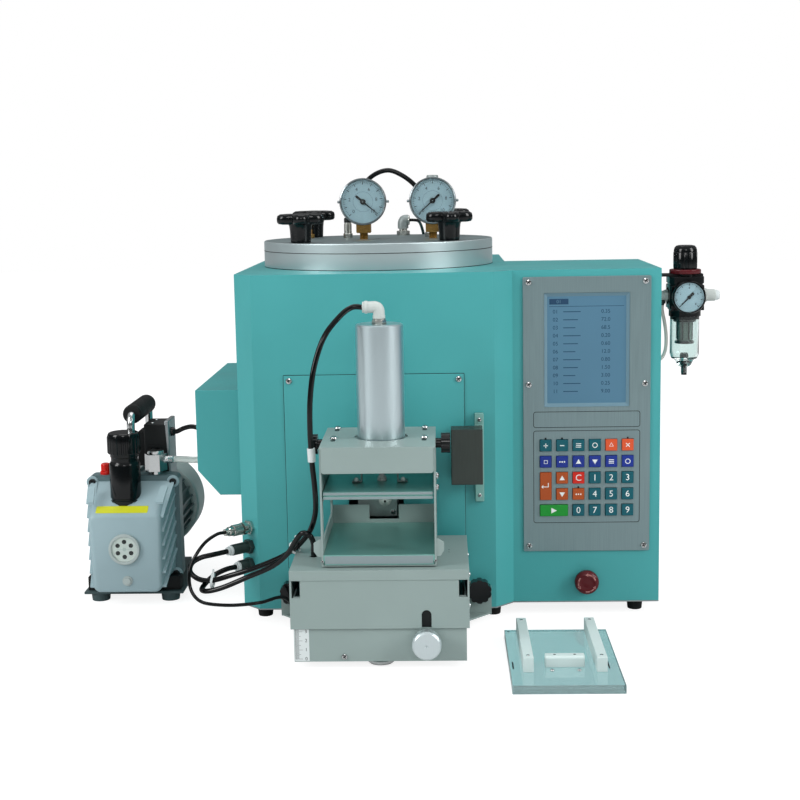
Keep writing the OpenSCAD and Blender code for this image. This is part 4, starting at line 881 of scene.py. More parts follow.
class OBJECT_OT_injector_finishes(bpy.types.Operator):
    """Paints and finishes the solids that stay as they are."""
    bl_idname = "object.injector_finishes"
    bl_label = "Finishes"

    def execute(self, context):
        edge = context.scene.injector_looks.edge * 1000
        for node, finishes, rounding in (
                ("cabinet_shell", "teal_paint", edge),
                ("valve_box", "teal_paint", edge),
                ("access_panel", "teal_paint", edge),
                ("cabinet_chassis", "zinc_sheet", 0.3),
                ("cabinet_feet", "black_rubber", 0.8),
                ("control_panel", "brushed_panel", 0.4),
                ("wax_tank", "turned_aluminium", 0.5),
                ("lid_gasket", "seal_white", 0),
                ("lid_studs", "bright_steel", 0.6),
                ("nozzle_block", "cast_grey", 0.8),
                ("clamp_housing", "grey_paint", edge),
                ("lift_cover", "grey_paint", edge),
                ("clamp_frame", "grey_paint", edge),
                # The plates' teal tint is a painted reflection of the cabinet
                ("table_plate", "milled_aluminium", 0.8),
                ("press_plate", "milled_aluminium", 0.3),
                # The piston rod's near-white finish is painted sheen
                ("piston_rod", "rod_metal", 0.2),
                ("mount_knob_left", "black_plastic", 0.9),
                ("mount_knob_right", "black_plastic", 0.9),
                ("frame_knob_left", "black_plastic", 0.8),
                ("frame_knob_right", "black_plastic", 0.8),
                ("pump_base", "pump_dark", 0.8),
                ("mould_plate", "clear_acrylic", 0.5),
                ("mould_bars", "nylon", 0.7)):
            dress(node, finishes, rounding)
        # The lid's face, the rail behind the side block, the screws on the clamp's head, the
        # motor under its fan cover and the switch box's plate differ from the rest
        for node, finishes, rounding, differs in (
                ("tank_lid", ("turned_aluminium", "lid_face"), 0.5, lambda p, n: n.z > 0.9),
                ("side_block", ("rail_steel", "milled_aluminium"), 1.0, lambda p, n: p.y > -6.5),
                ("head_bracket", ("grey_paint", "bright_steel"), edge,
                 lambda p, n: p.z > HEAD_Z + 0.1),
                ("pump_motor", ("motor_paint", "pump_dark"), 0.6, lambda p, n: p.y < 229.5),
                ("switch_box", ("matt_black", "zinc_sheet"), 1.2,
                 lambda p, n: p.x > PUMP_X + 37.2)):
            dress(node, finishes, rounding, differs)
        return {"FINISHED"}


# ---- Cabinet and control panel ----

# The second finish paints shade into the screws' cross slots
SCREW = ("bright_steel", "print_black")


class OBJECT_OT_injector_screws(bpy.types.Operator):
    """Adds the screws of the panels, the clamp and the side block, and the joint lines."""
    bl_idname = "object.injector_screws"
    bl_label = "Screws"

    def execute(self, context):
        form = Form()
        for x in (-97.8, 97.8):
            for z in (87, 287.8):
                form.screw(frontward(x, -1.5, z, 20 + x), 3.8, 2.1)
        for x in (-67.25, 67.25):
            for z in (6.5, 199, 318):
                form.screw(frontward(TOWER_X + x, PANEL_FRONT, PANEL_Z + z, 10 + z), 4.0, 2.1)
        settle(form, "panel_screw_heads", SCREW, "cabinet", ("panel_screws",))
        form = Form()
        for z in (152, 241):
            form.screw(frontward(121, -6, z, 15 + z), 2.6, 1.6)
        form.screw(frontward(-28.6, CLAMP_FRONT, 14, 30), 3.4, 2.2)
        form.screw(frontward(TOWER_X - 12, 40, 13.4), 2.6, 1.6)
        form.screw(frontward(19.5, 2, 132), 3.2, 1.6)
        settle(form, "small_screws", SCREW, "cabinet")
        form = Form()
        for x in (-49, 49):
            for y in (-105, -42):
                form.screw(upright(CLAMP_X + x, y, HEAD_Z, 30 + x), 4.0, 2.4)
        for side, turn in ((70.75, rightward), (-51.25, leftward)):
            for z in (191.6, 178.6):
                form.screw(turn(side, -80, z, z), 4.2, 3.2)
        settle(form, "clamp_screws", SCREW, "clamp")
        self.seams()
        form = Form()
        for y, z in ((-140, 96), (-60, 96), (-140, 62)):
            form.screw(rightward(104.75, y, z, 25 + y), 3.0, 1.7)
            form.screw(leftward(-85.25, y, z, 25 + y), 3.0, 1.7)
        for x, y in ((84, -96), (84, -86)):
            form.rod(1.0, -0.2, 0.03, upright(x, y, 109), 16)
        settle(form, "cover_screws", SCREW, "lift")
        return {"FINISHED"}

    def seams(self):
        """Dark joint lines round the access panel, and a black sheet in the slot as painted shade."""
        form = Form()
        side, low, high = ACCESS
        for s in (-1, 1):
            x = s * (side + 0.1)
            form.block((x - 0.35, -1.0, low), (x + 0.35, 0.0, high))
        form.block((-side, -1.0, high - 0.2), (side, 0.0, high + 0.5))
        settle(form, "panel_seams", "matt_black", "cabinet")
        form = Form()
        # A thin black sheet where the slot shows only shade: painted shade
        form.block((LOCK_X - 8, CLAMP_FRONT - 0.22, 46), (LOCK_X + 8, CLAMP_FRONT, 70))
        settle(form, "slot_painted_shade", "matt_black", "cabinet")


# The display's figures: number and value in rows from the top
READINGS = ("01 0.35", "02 72.0", "03 68.5", "04 0.20", "05 0.60", "06 12.0", "07 0.80",
            "08 1.50", "09 3.00", "10 0.25", "11 9.00")

# The signs by the keys' row and, from the left, their column
MODE_SIGNS = {4: ("plus", "minus", "bars", "ring", "drop", "cross"),
              3: ("square", "dots", "up", "down", "bars", "ring")}
NUMBER_SIGNS = {2: ("", "up", "C", "1", "2", "3"),
                1: ("", "down", "dots", "4", "5", "6"),
                0: ("", "", "0", "7", "8", "9")}

# The outlines that a plain sign is made of
OUTLINES = {
    "plus": [bar(2.6, 0.5), bar(0.5, 2.6)],
    "minus": [bar(2.6, 0.5)],
    "bars": [bar(3, 0.4, y) for y in (-2, 0, 2)],
    "up": [[(-3.2, -2.4), (3.2, -2.4), (0, 3.0)]],
    "down": [[(0, -3.0), (3.2, 2.4), (-3.2, 2.4)]],
    "enter": [[(-3.2, -1.0), (3.4, -1.0), (3.4, 4.2), (2.5, 4.2), (2.5, -0.1), (-3.2, -0.1)],
              [(-3.0, -2.8), (-3.0, 1.7), (-5.2, -0.55)]],
    "start": [[(-3.2, -3.4), (3.4, 0), (-3.2, 3.4)]],
}

# Hollow signs: how many corners they have and how far they are turned
HOOPS = {"ring": (28, 0), "drop": (3, 90), "square": (4, 45)}


class OBJECT_OT_injector_panel(bpy.types.Operator):
    """Adds the display, the printed frames and the key signs."""
    bl_idname = "object.injector_panel"
    bl_label = "Control panel"

    def execute(self, context):
        self.display()
        self.frames()
        self.signs()
        return {"FINISHED"}

    def display(self):
        """A set-back screen in a bevelled rim, with rows of figures."""
        form = Form()
        place = frontward(TOWER_X, PANEL_FRONT, 316.75)
        outer = rounded_box(98.4, 132.4, 1.2, 3)
        inner = rounded_box(91.0, 124.6, 1.0, 3)
        form.loft([raised(outer, 0.25), raised(inner, -2.4), raised(outer, -2.6)], place, False)
        form.finish = 1
        form.block((-45.6, -62.4, -3.4), (45.6, 62.4, -2.4), place)
        form.finish = 2
        for row, reading in enumerate(READINGS):
            level = 44.5 - 9.3 * row
            number, value = reading.split()
            form.figures(number, 6.2, moved(place, -36, level, -2.35))
            form.block((-27, level - 0.5, -2.38), (-7 - 3 * (row % 3), level + 0.4, -2.32), place)
            form.figures(value, 6.2, moved(place, 22, level, -2.35))
        form.block((-43, 53, -2.38), (-21, 59.5, -2.32), place)
        form.block((-43, 50.4, -2.38), (43, 50.9, -2.32), place)
        form.finish = 1
        form.figures("01", 5.6, moved(place, -32, 56.2, -2.3))
        settle(form, "display", ("screen_frame", "screen", "screen_ink"), "cabinet",
               ("display_screen",))

    def frames(self):
        """Two printed frames, empty above and round the keys, and small lamps."""
        form = Form()
        left, right = 184.5, 308.6
        for low, high in ((226.0, 245.0), (112.2, 222.6)):
            width, height = right - left, high - low
            outer = rounded_box(width, height, 3.0)
            inner = rounded_box(width - 1.3, height - 1.3, 2.4)
            form.loft([raised(outer, 0.0), raised(outer, 0.12), raised(inner, 0.12),
                       raised(inner, 0.0)],
                      frontward((left + right) / 2, PANEL_FRONT, (low + high) / 2), False)
        for column, row in ((0, 4), (1, 4), (5, 4), (2, 1)):
            form.turned([(1.2, 0), (1.2, 0.3), (0.7, 0.5), (0, 0.5)],
                        frontward(key_x(column), PANEL_FRONT, key_z(row) + 8.1), 20)
        settle(form, "panel_print", "print_black", "cabinet")

    def signs(self):
        """White figures and plain signs on the keys."""
        for keys, rows in (("mode_keys", MODE_SIGNS), ("number_keys", NUMBER_SIGNS)):
            form = Form()
            for row, shapes in rows.items():
                for column, shape in enumerate(shapes):
                    self.sign(form, shape, frontward(key_x(column), KEY_FRONT, key_z(row)))
            if keys == "number_keys":
                # The enter key is two rows high
                self.sign(form, "enter", frontward(key_x(0), KEY_FRONT, key_z(1) + 9.7))
            settle(form, keys + "_signs", "print_white", keys)
        form = Form()
        # The start key is two columns wide
        self.sign(form, "start", frontward(key_x(0) + 9.55, KEY_FRONT, key_z(0)))
        settle(form, "start_key_sign", "print_white", "start_key")

    def sign(self, form, shape, place):
        """One sign, about 6 millimetres high."""
        low, high = -0.05, 0.08
        for outline in OUTLINES.get(shape, ()):
            form.prism(outline, low, high, place)
        if shape.isdigit() or shape == "C":
            form.figures(shape, 10.5, place, 0.16)
        elif shape == "dots":
            for x in (-2.6, 0, 2.6):
                form.rod(0.9, low, high, moved(place, x, 0), 16)
        elif shape == "cross":
            for turn in (45, -45):
                form.prism(bar(3, 0.45), low, high, spun(place, turn))
        elif shape in HOOPS:
            sides, turn = HOOPS[shape]
            form.collar(2.3, 3.1, low, high, spun(place, turn), sides)


def key_x(column):
    return TOWER_X + (column - 2.5) * KEY_PITCH_X


def key_z(row):
    return KEY_ROW_Z + row * KEY_PITCH_Z


def key_colour(p, n):
    """Which of its node's finishes the key at this place has."""
    column = round((p.x - TOWER_X) / KEY_PITCH_X + 2.5)
    row = round((p.z - KEY_ROW_Z) / KEY_PITCH_Z)
    if row >= 4:
        return 2 if column >= 4 else 0
    if row == 3:
        return 1
    if column <= 0:
        return 2
    if row == 2:
        return 2 if column == 1 else (3 if column == 2 else 0)
    if row == 1:
        return 2 if column <= 2 else 0
    return 0


class OBJECT_OT_injector_keys(bpy.types.Operator):
    """Colours the keys and their flat tops, and makes the emergency stop."""
    bl_idname = "object.injector_keys"
    bl_label = "Keys and stop"

    def execute(self, context):
        dress("mode_keys", ("key_teal", "key_navy", "key_orange"), 0.6, key_colour)
        dress("number_keys", ("key_teal", "key_navy", "key_brown", "key_red"), 0.6, key_colour)
        dress("start_key", "key_green", 0.6)
        form = Form()
        place = frontward(TOWER_X, TOWER_Y, 41.4)
        form.turned([(0, 3.2), (10.5, 3.2), (12.6, 3.6), (14.2, 5.2), (14.4, 7.2), (14.1, 10.2),
                     (12.6, 12.4), (10.4, 13.3), (9.6, 13.5), (8.9, 13.2), (4, 13.5), (0, 13.6)],
                    place, 72)
        form.rod(7.9, -17.5, 3.6, place, 40)
        form.finish = 1
        for turn in (20, 140, 260):
            self.arrow(form, place, turn)
        settle(form, "stop_button", ("stop_red", "stop_mark"), "emergency_stop",
               ("emergency_stop",))
        return {"FINISHED"}

    def arrow(self, form, place, turn):
        """A curved arrow on the mushroom, for the way it is released."""
        inner, outer = ([polar(radius, turn + 8 * i) for i in range(9)] for radius in (9.6, 11.0))
        head = [polar(8.4, turn + 64), polar(10.3, turn + 82), polar(12.2, turn + 64)]
        outline = inner + head + outer[::-1]
        top = [(x, y, 13.68 - max(math.hypot(x, y) - 9.6, 0) * 0.36) for x, y in outline]
        count = len(outline)
        faces = [tuple(range(count))]
        for i in range(count):
            j = (i + 1) % count
            faces.append((i, count + i, count + j, j))
        form.add(top + raised(outline, 12.0), faces, place)


# ---- Lid ----

def thread(radius, low, high, pitch=1.0):
    """Profile points of a cut thread."""
    out = []
    level = low
    while level < high - 0.01:
        out += [(radius, level), (radius - 0.35 * pitch, level + pitch / 2)]
        level += pitch
    out.append((radius, high))
    return out


def dial_marks(form, place, radius, first, last, major, minor, numbers, size, level):
    """Scale of a gauge: long and short marks and plain numbers, clockwise from straight up."""
    steps = major * minor
    for i in range(steps + 1):
        angle = first + (last - first) * i / steps
        turn = spun(place, -angle)
        long = i % minor == 0
        inner = radius * (0.80 if long else 0.87)
        half = 0.42 if long else 0.2
        form.prism([(-half, inner), (half, inner), (half, radius * 0.94), (-half, radius * 0.94)],
                   level, level + 0.06, turn)
    for i, number in enumerate(numbers):
        x, y = polar(radius * 0.64, 90 - first - (last - first) * i / (len(numbers) - 1))
        form.figures(number, size, moved(place, x, y, level + 0.03), 0.05)


def pointer(form, place, reach, angle):
    """A gauge pointer: a fine blade, a round hub and a wider tail."""
    turn = spun(place, -angle)
    form.prism([(-0.95, 0), (-0.3, reach * 0.88), (0.3, reach * 0.88), (0.95, 0)], 0, 0.45, turn)
    form.prism([(-0.95, 0), (0.95, 0), (1.7, -reach * 0.36), (0.9, -reach * 0.43),
                (-0.9, -reach * 0.43), (-1.7, -reach * 0.36)], 0, 0.45, turn)
    form.collar(1.08, reach * 0.13, -0.05, 0.6, place, 32)


class OBJECT_OT_injector_gauges(bpy.types.Operator):
    """Makes the two gauges of the lid and their pointers."""
    bl_idname = "object.injector_gauges"
    bl_label = "Lid gauges"

    def execute(self, context):
        for i, (node, needle, angle) in enumerate((("vacuum_gauge", "vacuum_needle", 130),
                                                   ("pressure_gauge", "pressure_needle", 228))):
            place = frontward(GAUGE_X[i], GAUGE_Y, GAUGE_Z)
            self.case(node, place, GAUGE_X[i], boss=i == 1)
            form = Form()
            pointer(form, frontward(GAUGE_X[i], GAUGE_Y + 0.9, GAUGE_Z), 27, angle)
            settle(form, needle + "_pointer", "needle_black", needle, (needle,))
        return {"FINISHED"}

    def case(self, node, place, x, boss):
        """The rim, dial and stem; a boss stands on the rim of the right gauge."""
        form = Form()
        form.turned([(0, -22), (21, -22), (24.5, -20.6), (27, -17.6), (28, -14), (28, -4.6),
                     (29.2, -4.0), (29.5, -2.6), (29.5, 0.6), (29.0, 1.6), (28.1, 2.0),
                     (27.3, 1.7), (26.8, 0.8), (26.8, -2.9), (0, -2.9)], place, 96)
        form.turned([(1, -3), (1, -0.6), (0.7, -0.4), (0, -0.4)], place, 20)
        # The stem with its hexagon and thread
        foot = upright(x, GAUGE_Y + 11, LID_TOP)
        form.finish = 3
        form.block((-9.2, -7.5, 8.6), (9.2, 7.5, 24), foot)
        form.block((-8.4, -6.8, 7.8), (8.4, 6.8, 8.7), foot)
        form.turned([(0, 0)] + thread(5.4, 0, 8, 1.3) + [(0, 8)], foot, 32)
        if boss:
            form.finish = 4
            cap = upright(x, GAUGE_Y + 10, GAUGE_Z + GAUGE_R - 4)
            form.turned([(0, 0), (7.4, 0), (7.4, 5.0), (6.6, 6.3), (0, 6.5)], cap, 40)
        form.finish = 0
        for side in (-1, 1):
            turn = rightward if side > 0 else leftward
            pin = turn(x + side * 27.5, GAUGE_Y + 8, GAUGE_Z)
            form.turned([(0, 0), (1.7, 0), (1.7, 4.4), (1.2, 5), (0, 5)], pin, 20)
        form.finish = 1
        form.rod(26.7, -2.88, -2.6, place, 72)
        form.finish = 2
        numbers = ["0", "2", "4", "6", "8", "10"]
        dial_marks(form, place, 26.6, -135, 135, 10, 5, numbers, 6.0, -2.6)
        form.collar(12.3, 12.5, -2.6, -2.56, place, 72)
        settle(form, node + "_case", ("gauge_rim", "dial_white", "print_black", "stem_brass",
                                      "cast_grey"), "lid", (node,))
        form = Form()
        form.turned([(0, 0.5), (26.9, 0.4), (26.9, 0.9), (0, 1.1)], place, 72)
        settle(form, node + "_glass", "glass", "lid")


class OBJECT_OT_injector_lid_knobs(bpy.types.Operator):
    """Moulds the four star knobs of the lid."""
    bl_idname = "object.injector_lid_knobs"
    bl_label = "Lid knobs"

    def execute(self, context):
        for side in STUD_ANGLES:
            place = upright(*stud(side), LID_TOP + 0.15, 8)
            form = Form()
            form.turned([(0, 30), (4.15, 30), (4.15, 0), (11.6, 0), (12.2, 0.8), (12.4, 4),
                         (12.9, 14), (13.6, 20), (15, 23), (0, 23.4)], place, 48)
            form.turned([(0, 22), (22, 22), (26.6, 22.8), (28.2, 25), (28.4, 29), (27.6, 32.4),
                         (24.5, 34.4), (17, 34.9), (12.5, 34.6), (11.2, 33.9), (0, 33.9)],
                        place, 128, self.lobe)
            form.finish = 1
            form.turned([(0, 33.7), (9.4, 33.7), (9.0, 34.7), (0, 34.95)], place, 40)
            settle(form, "lid_knob_" + side + "_star", ("black_plastic", "matt_black"),
                   "lid_knob_" + side, ("lid_knob_" + side,), angle=50)
        return {"FINISHED"}

    def lobe(self, angle):
        """Four rounded arms with hollows between them."""
        wave = 0.5 + 0.5 * math.cos(4 * angle)
        return 0.52 + 0.48 * wave ** 0.62


class OBJECT_OT_injector_lid_fittings(bpy.types.Operator):
    """Makes the push-in fittings and the brass plug on the lid."""
    bl_idname = "object.injector_lid_fittings"
    bl_label = "Lid fittings"

    def execute(self, context):
        form = Form()
        for spot in LID_SOCKETS:
            place = upright(*spot, LID_TOP)
            form.finish = 0
            form.hexagon(12, 0, 6, place)
            form.turned([(0, 6), (4.9, 6), (4.9, 18), (4.4, 18.6), (4.4, 20), (0, 20)], place, 32)
            form.finish = 1
            form.turned([(3.1, 20), (4.9, 20), (4.9, 24.6), (4.4, 26), (3.1, 26), (3.1, 20)],
                        place, 32)
        place = upright(*LID_ELBOW, LID_TOP)
        form.finish = 0
        form.hexagon(17.6, 0, 6, place)
        form.rod(5.4, 6, 9, place, 32)
        form.finish = 2
        form.pipe(smooth_route([(29, 303, 451), (29, 303, 458), (30.5, 303, 461.4),
                                (33, 303, 462), (36, 303, 462)], 4), 7.2, 32)
        form.finish = 0
        form.turned([(2.1, 7), (6.4, 7), (6.4, 8.4), (5, 9.0), (2.1, 9.0), (2.1, 7)],
                    rightward(*LID_ELBOW, 462), 32)
        place = upright(*LID_PLUG, LID_TOP)
        form.finish = 3
        form.hexagon(11, 0, 5, place)
        form.turned([(0, 5)] + thread(3.1, 5, 10, 1.0) + [(2.4, 11), (0, 11)], place, 28)
        settle(form, "lid_fitting_set", ("nickel", "matt_black", "cast_grey", "stem_brass"), "lid",
               ("lid_fittings",))
        form = Form()
        # The ring at the flange's top is the dark joint under the lid; the ring at the flange's foot
        # on the cabinet top is a painted shadow line
        for level, radius in ((FLANGE_TOP - 0.1, LID_R + 0.12), (CAB_TOP + 0.1, LID_R + 0.2)):
            form.collar(radius - 1, radius, level, level + 0.7, upright(*POT, 0), 128)
        settle(form, "pot_joint_and_shadow_lines", "matt_black", "cabinet")
        # A ring and a centre mark on the lid, and darker rings round its studs, just outside the
        # knobs' feet
        form = Form()
        form.collar(3.4, 3.9, 0, 0.05, upright(*POT, LID_TOP), 40)
        form.turned([(0, 0), (1.2, 0), (0.9, 0.06), (0, 0.06)], upright(*POT, LID_TOP), 24)
        for side in STUD_ANGLES:
            form.collar(13.2, 14.4, 0, 0.05, upright(*stud(side), LID_TOP), 40)
        settle(form, "lid_centre_and_stud_rings", "rail_steel", "lid")
        return {"FINISHED"}


# ---- Clamp ----

class OBJECT_OT_injector_clamp(bpy.types.Operator):
    """Adds the fine pieces of the mould clamp."""
    bl_idname = "object.injector_clamp"
    bl_label = "Mould clamp"

    def execute(self, context):
        self.cylinder()
        self.lock_knob()
        self.wheel()
        self.scale()
        self.press()
        self.nozzle()
        self.table()
        self.slider()
        return {"FINISHED"}

    def cylinder(self):
        """The air cylinder with its neck and push-in elbow."""
        x = CYLINDER_X
        place = upright(x, CYLINDER_Y, 0)
        seat, top = HEAD_Z - 2, HEAD_Z + 123
        form = Form()
        form.turned([(2.6, seat), (25.6, seat), (25.9, seat + 0.5), (25.9, top - 1.6),
                     (25.2, top - 0.5), (24.2, top), (21.6, top), (21.2, top - 0.6),
                     (20.6, top - 0.6), (20.2, top), (8.4, top), (8.4, top - 1.2), (0, top - 1.2),
                     (0, seat + 30), (2.6, seat + 30), (2.6, seat)], place, 96)
        form.finish = 1
        form.hexagon(15.6, top - 1, top + 4.6, place)
        form.rod(6.9, top + 4, top + 6, place, 36)
        form.finish = 2
        bend = [(x, CYLINDER_Y, top + 5.6), (x, CYLINDER_Y, top + 12), (x - 0.8, CYLINDER_Y, top + 16),
                (x - 3.6, CYLINDER_Y, top + 18), (x - 9, CYLINDER_Y, top + 18),
                (x - 12.4, CYLINDER_Y, top + 18)]
        form.pipe(smooth_route(bend, 5), 6.3, 32)
        form.turned([(3.1, 12.2), (6.9, 12.2), (6.9, 15.2), (5.9, 16), (5.9, 17.8), (3.1, 17.8),
                     (3.1, 12.2)], leftward(x, CYLINDER_Y, top + 18), 40)
        form.turned([(5.0, top + 6), (6.8, top + 6), (6.8, top + 9), (6.2, top + 9.6),
                     (5.0, top + 9.6)], place, 36)
        settle(form, "air_cylinder_body", ("cylinder_metal", "nickel", "pale_grey"), "clamp",
               ("air_cylinder",), angle=30)

    def lock_knob(self):
        """The knurled aluminium knob that locks the height, with its screw."""
        place = frontward(LOCK_X, CLAMP_FRONT - 3.8, 31.3)
        form = Form()
        form.knurled(15.5, 5.0, 16.6, 64, 0.4, place)
        form.turned([(0, 0.3), (9.5, 0.3), (10, 0.8), (13.6, 1.6), (14.4, 2.4), (14.4, 5.2),
                     (0, 5.2)], place, 64)
        form.turned([(0, 16.4), (14.5, 16.4), (14.4, 17.2), (13.6, 17.9), (1.5, 18), (1.2, 17.7),
                     (1.2, 14.5), (0, 14.5)], place, 64)
        form.finish = 1
        form.rod(3.9, -8, 0.6, place, 32)
        form.rod(1.15, 14.4, 14.7, place, 20)
        settle(form, "height_lock_knob", ("white_anodised", "rail_steel"), "height_knob",
               ("height_knob",))

    def wheel(self):
        """The knurled wheel under the clamp with its screw."""
        place = upright(CLAMP_X, -148, 1.6)
        form = Form()
        form.knurled(14.5, 1.6, 5.9, 60, 0.4, place)
        form.turned([(0, 0), (10, 0), (12.6, 0.9), (13.6, 1.8), (0, 1.8)], place, 56)
        form.rod(7, 5.8, 6.8, place, 32)
        form.rod(7, 9.2, 12, place, 32)
        form.turned([(0, 6)] + thread(4, 6, 79, 1.6) + [(0, 79)], place, 28)
        settle(form, "lifting_wheel", "bright_steel", "lift_wheel",
               ("lift_wheel",))

    def scale(self):
        """A pale printed rule on the housing: millimetres, with plain numbers."""
        form = Form()
        x0, y = CLAMP_X - 91.2, CLAMP_FRONT
        form.block((x0, y - 0.25, 9.5), (x0 + 15.5, y, 79))
        form.finish = 1
        for i in range(36):
            level = 11.5 + i
            reach = 7.5 if i % 10 == 0 else (5.5 if i % 5 == 0 else 3.8)
            form.block((x0 + 1, y - 0.32, level), (x0 + 1 + reach, y - 0.24, level + 0.28))
        for i, number in enumerate(("0", "1", "2", "3")):
            form.figures(number, 5.2, frontward(x0 + 12.2, y - 0.28, 11.8 + 10 * i), 0.06)
        form.block((x0 + 0.8, y - 0.32, 11), (x0 + 1.1, y - 0.24, 77))
        settle(form, "height_scale", ("tie_white", "print_black"), "cabinet")

    def press(self):
        """Bright grooved edge of the press plate, its nut and rivets in painted sheen, and flat black
        patches as painted shade for the slots of the head.
        """
        form = Form()
        x, y = CLAMP_X, -156
        z = 182.5
        form.block((x - 57.6, y - 0.25, z + 0.4), (x + 57.6, y + 0.1, z + 3.0))
        form.block((x - 57.6, y - 0.25, z + 4.9), (x + 57.6, y + 0.1, z + 7.6))
        settle(form, "press_edge", "edge_metal", "press", edge=0.15)
        form = Form()
        form.turned([(0, -0.1), (5.4, -0.1), (5.4, 2.2), (4.6, 3.0), (3.2, 3.0), (3.2, 8), (2.6, 9),
                     (0, 9)], upright(CYLINDER_X, CYLINDER_Y, 190.5), 36)
        settle(form, "rod_nut", "rod_metal", "press")
        form = Form()
        for s in (-1, 1):
            form.turned([(0, 0), (2.4, 0), (2.4, 1.2), (1.6, 2), (0, 2)],
                        frontward(x + s * 25.4, CYLINDER_Y - 14, 194.5), 20)
        settle(form, "hanger_rivets", "rod_metal", "clamp")
        # Flat black patches on the head: painted shade for the insides of its slots
        form = Form()
        for side in (-49, 49):
            for y in (-114, -51):
                form.prism(rounded_box(5.2, 13, 2.5), HEAD_Z + 0.02, HEAD_Z + 0.14,
                           upright(x + side, y - 3.2, 0))
        settle(form, "head_slot_shade", "matt_black", "clamp")

    def nozzle(self):
        """The bright nozzle with its cone and painted shade in its bore, and the block's cover plate.
        """
        place = frontward(CLAMP_X + 1, 0, NOZZLE_Z)
        form = Form()
        form.turned([(0, -21.5), (7.45, -21.5), (7.45, 0.2), (7.2, 0.8), (2.1, 7.6),
                     (1.6, 8), (0.9, 8), (0.9, 5), (0, 5)], place, 64)
        # A black cone over the bore: painted shade for the dark hole
        form.finish = 1
        form.turned([(0, 5), (1.5, 8.02), (1.2, 8.05), (0, 8.05)], place, 24)
        settle(form, "nozzle_cone", ("nozzle_metal", "print_black"), "nozzle_tip",
               ("nozzle_tip",))
        form = Form()
        form.block((-20.5, 1.2, 127), (24.5, 2.4, 167.5))
        settle(form, "nozzle_cover", "cast_grey", "cabinet", edge=0.4)

    def table(self):
        """Bright front edge strip of the table and its two screws."""
        form = Form()
        x = CLAMP_X
        form.block((x - 57.2, -158.3, TABLE_Z - 9.6), (x + 57.2, -157.9, TABLE_Z - 1.0))
        settle(form, "table_edge", "edge_metal", "clamp", edge=0.15)
        form = Form()
        for s in (-1, 1):
            form.screw(frontward(x + s * 60.0, -157.2, TABLE_Z - 7, 30), 1.9, 1.0)
        settle(form, "table_screws", SCREW, "clamp")

    def slider(self):
        """The chamfered cap of the dark side block."""
        form = Form()
        form.block((88.6, -32.2, 232.4), (123.4, -7, 233.9))
        settle(form, "side_block_cap", "rail_steel", "cabinet", edge=0.5)


# ---- Regulator and side fittings ----

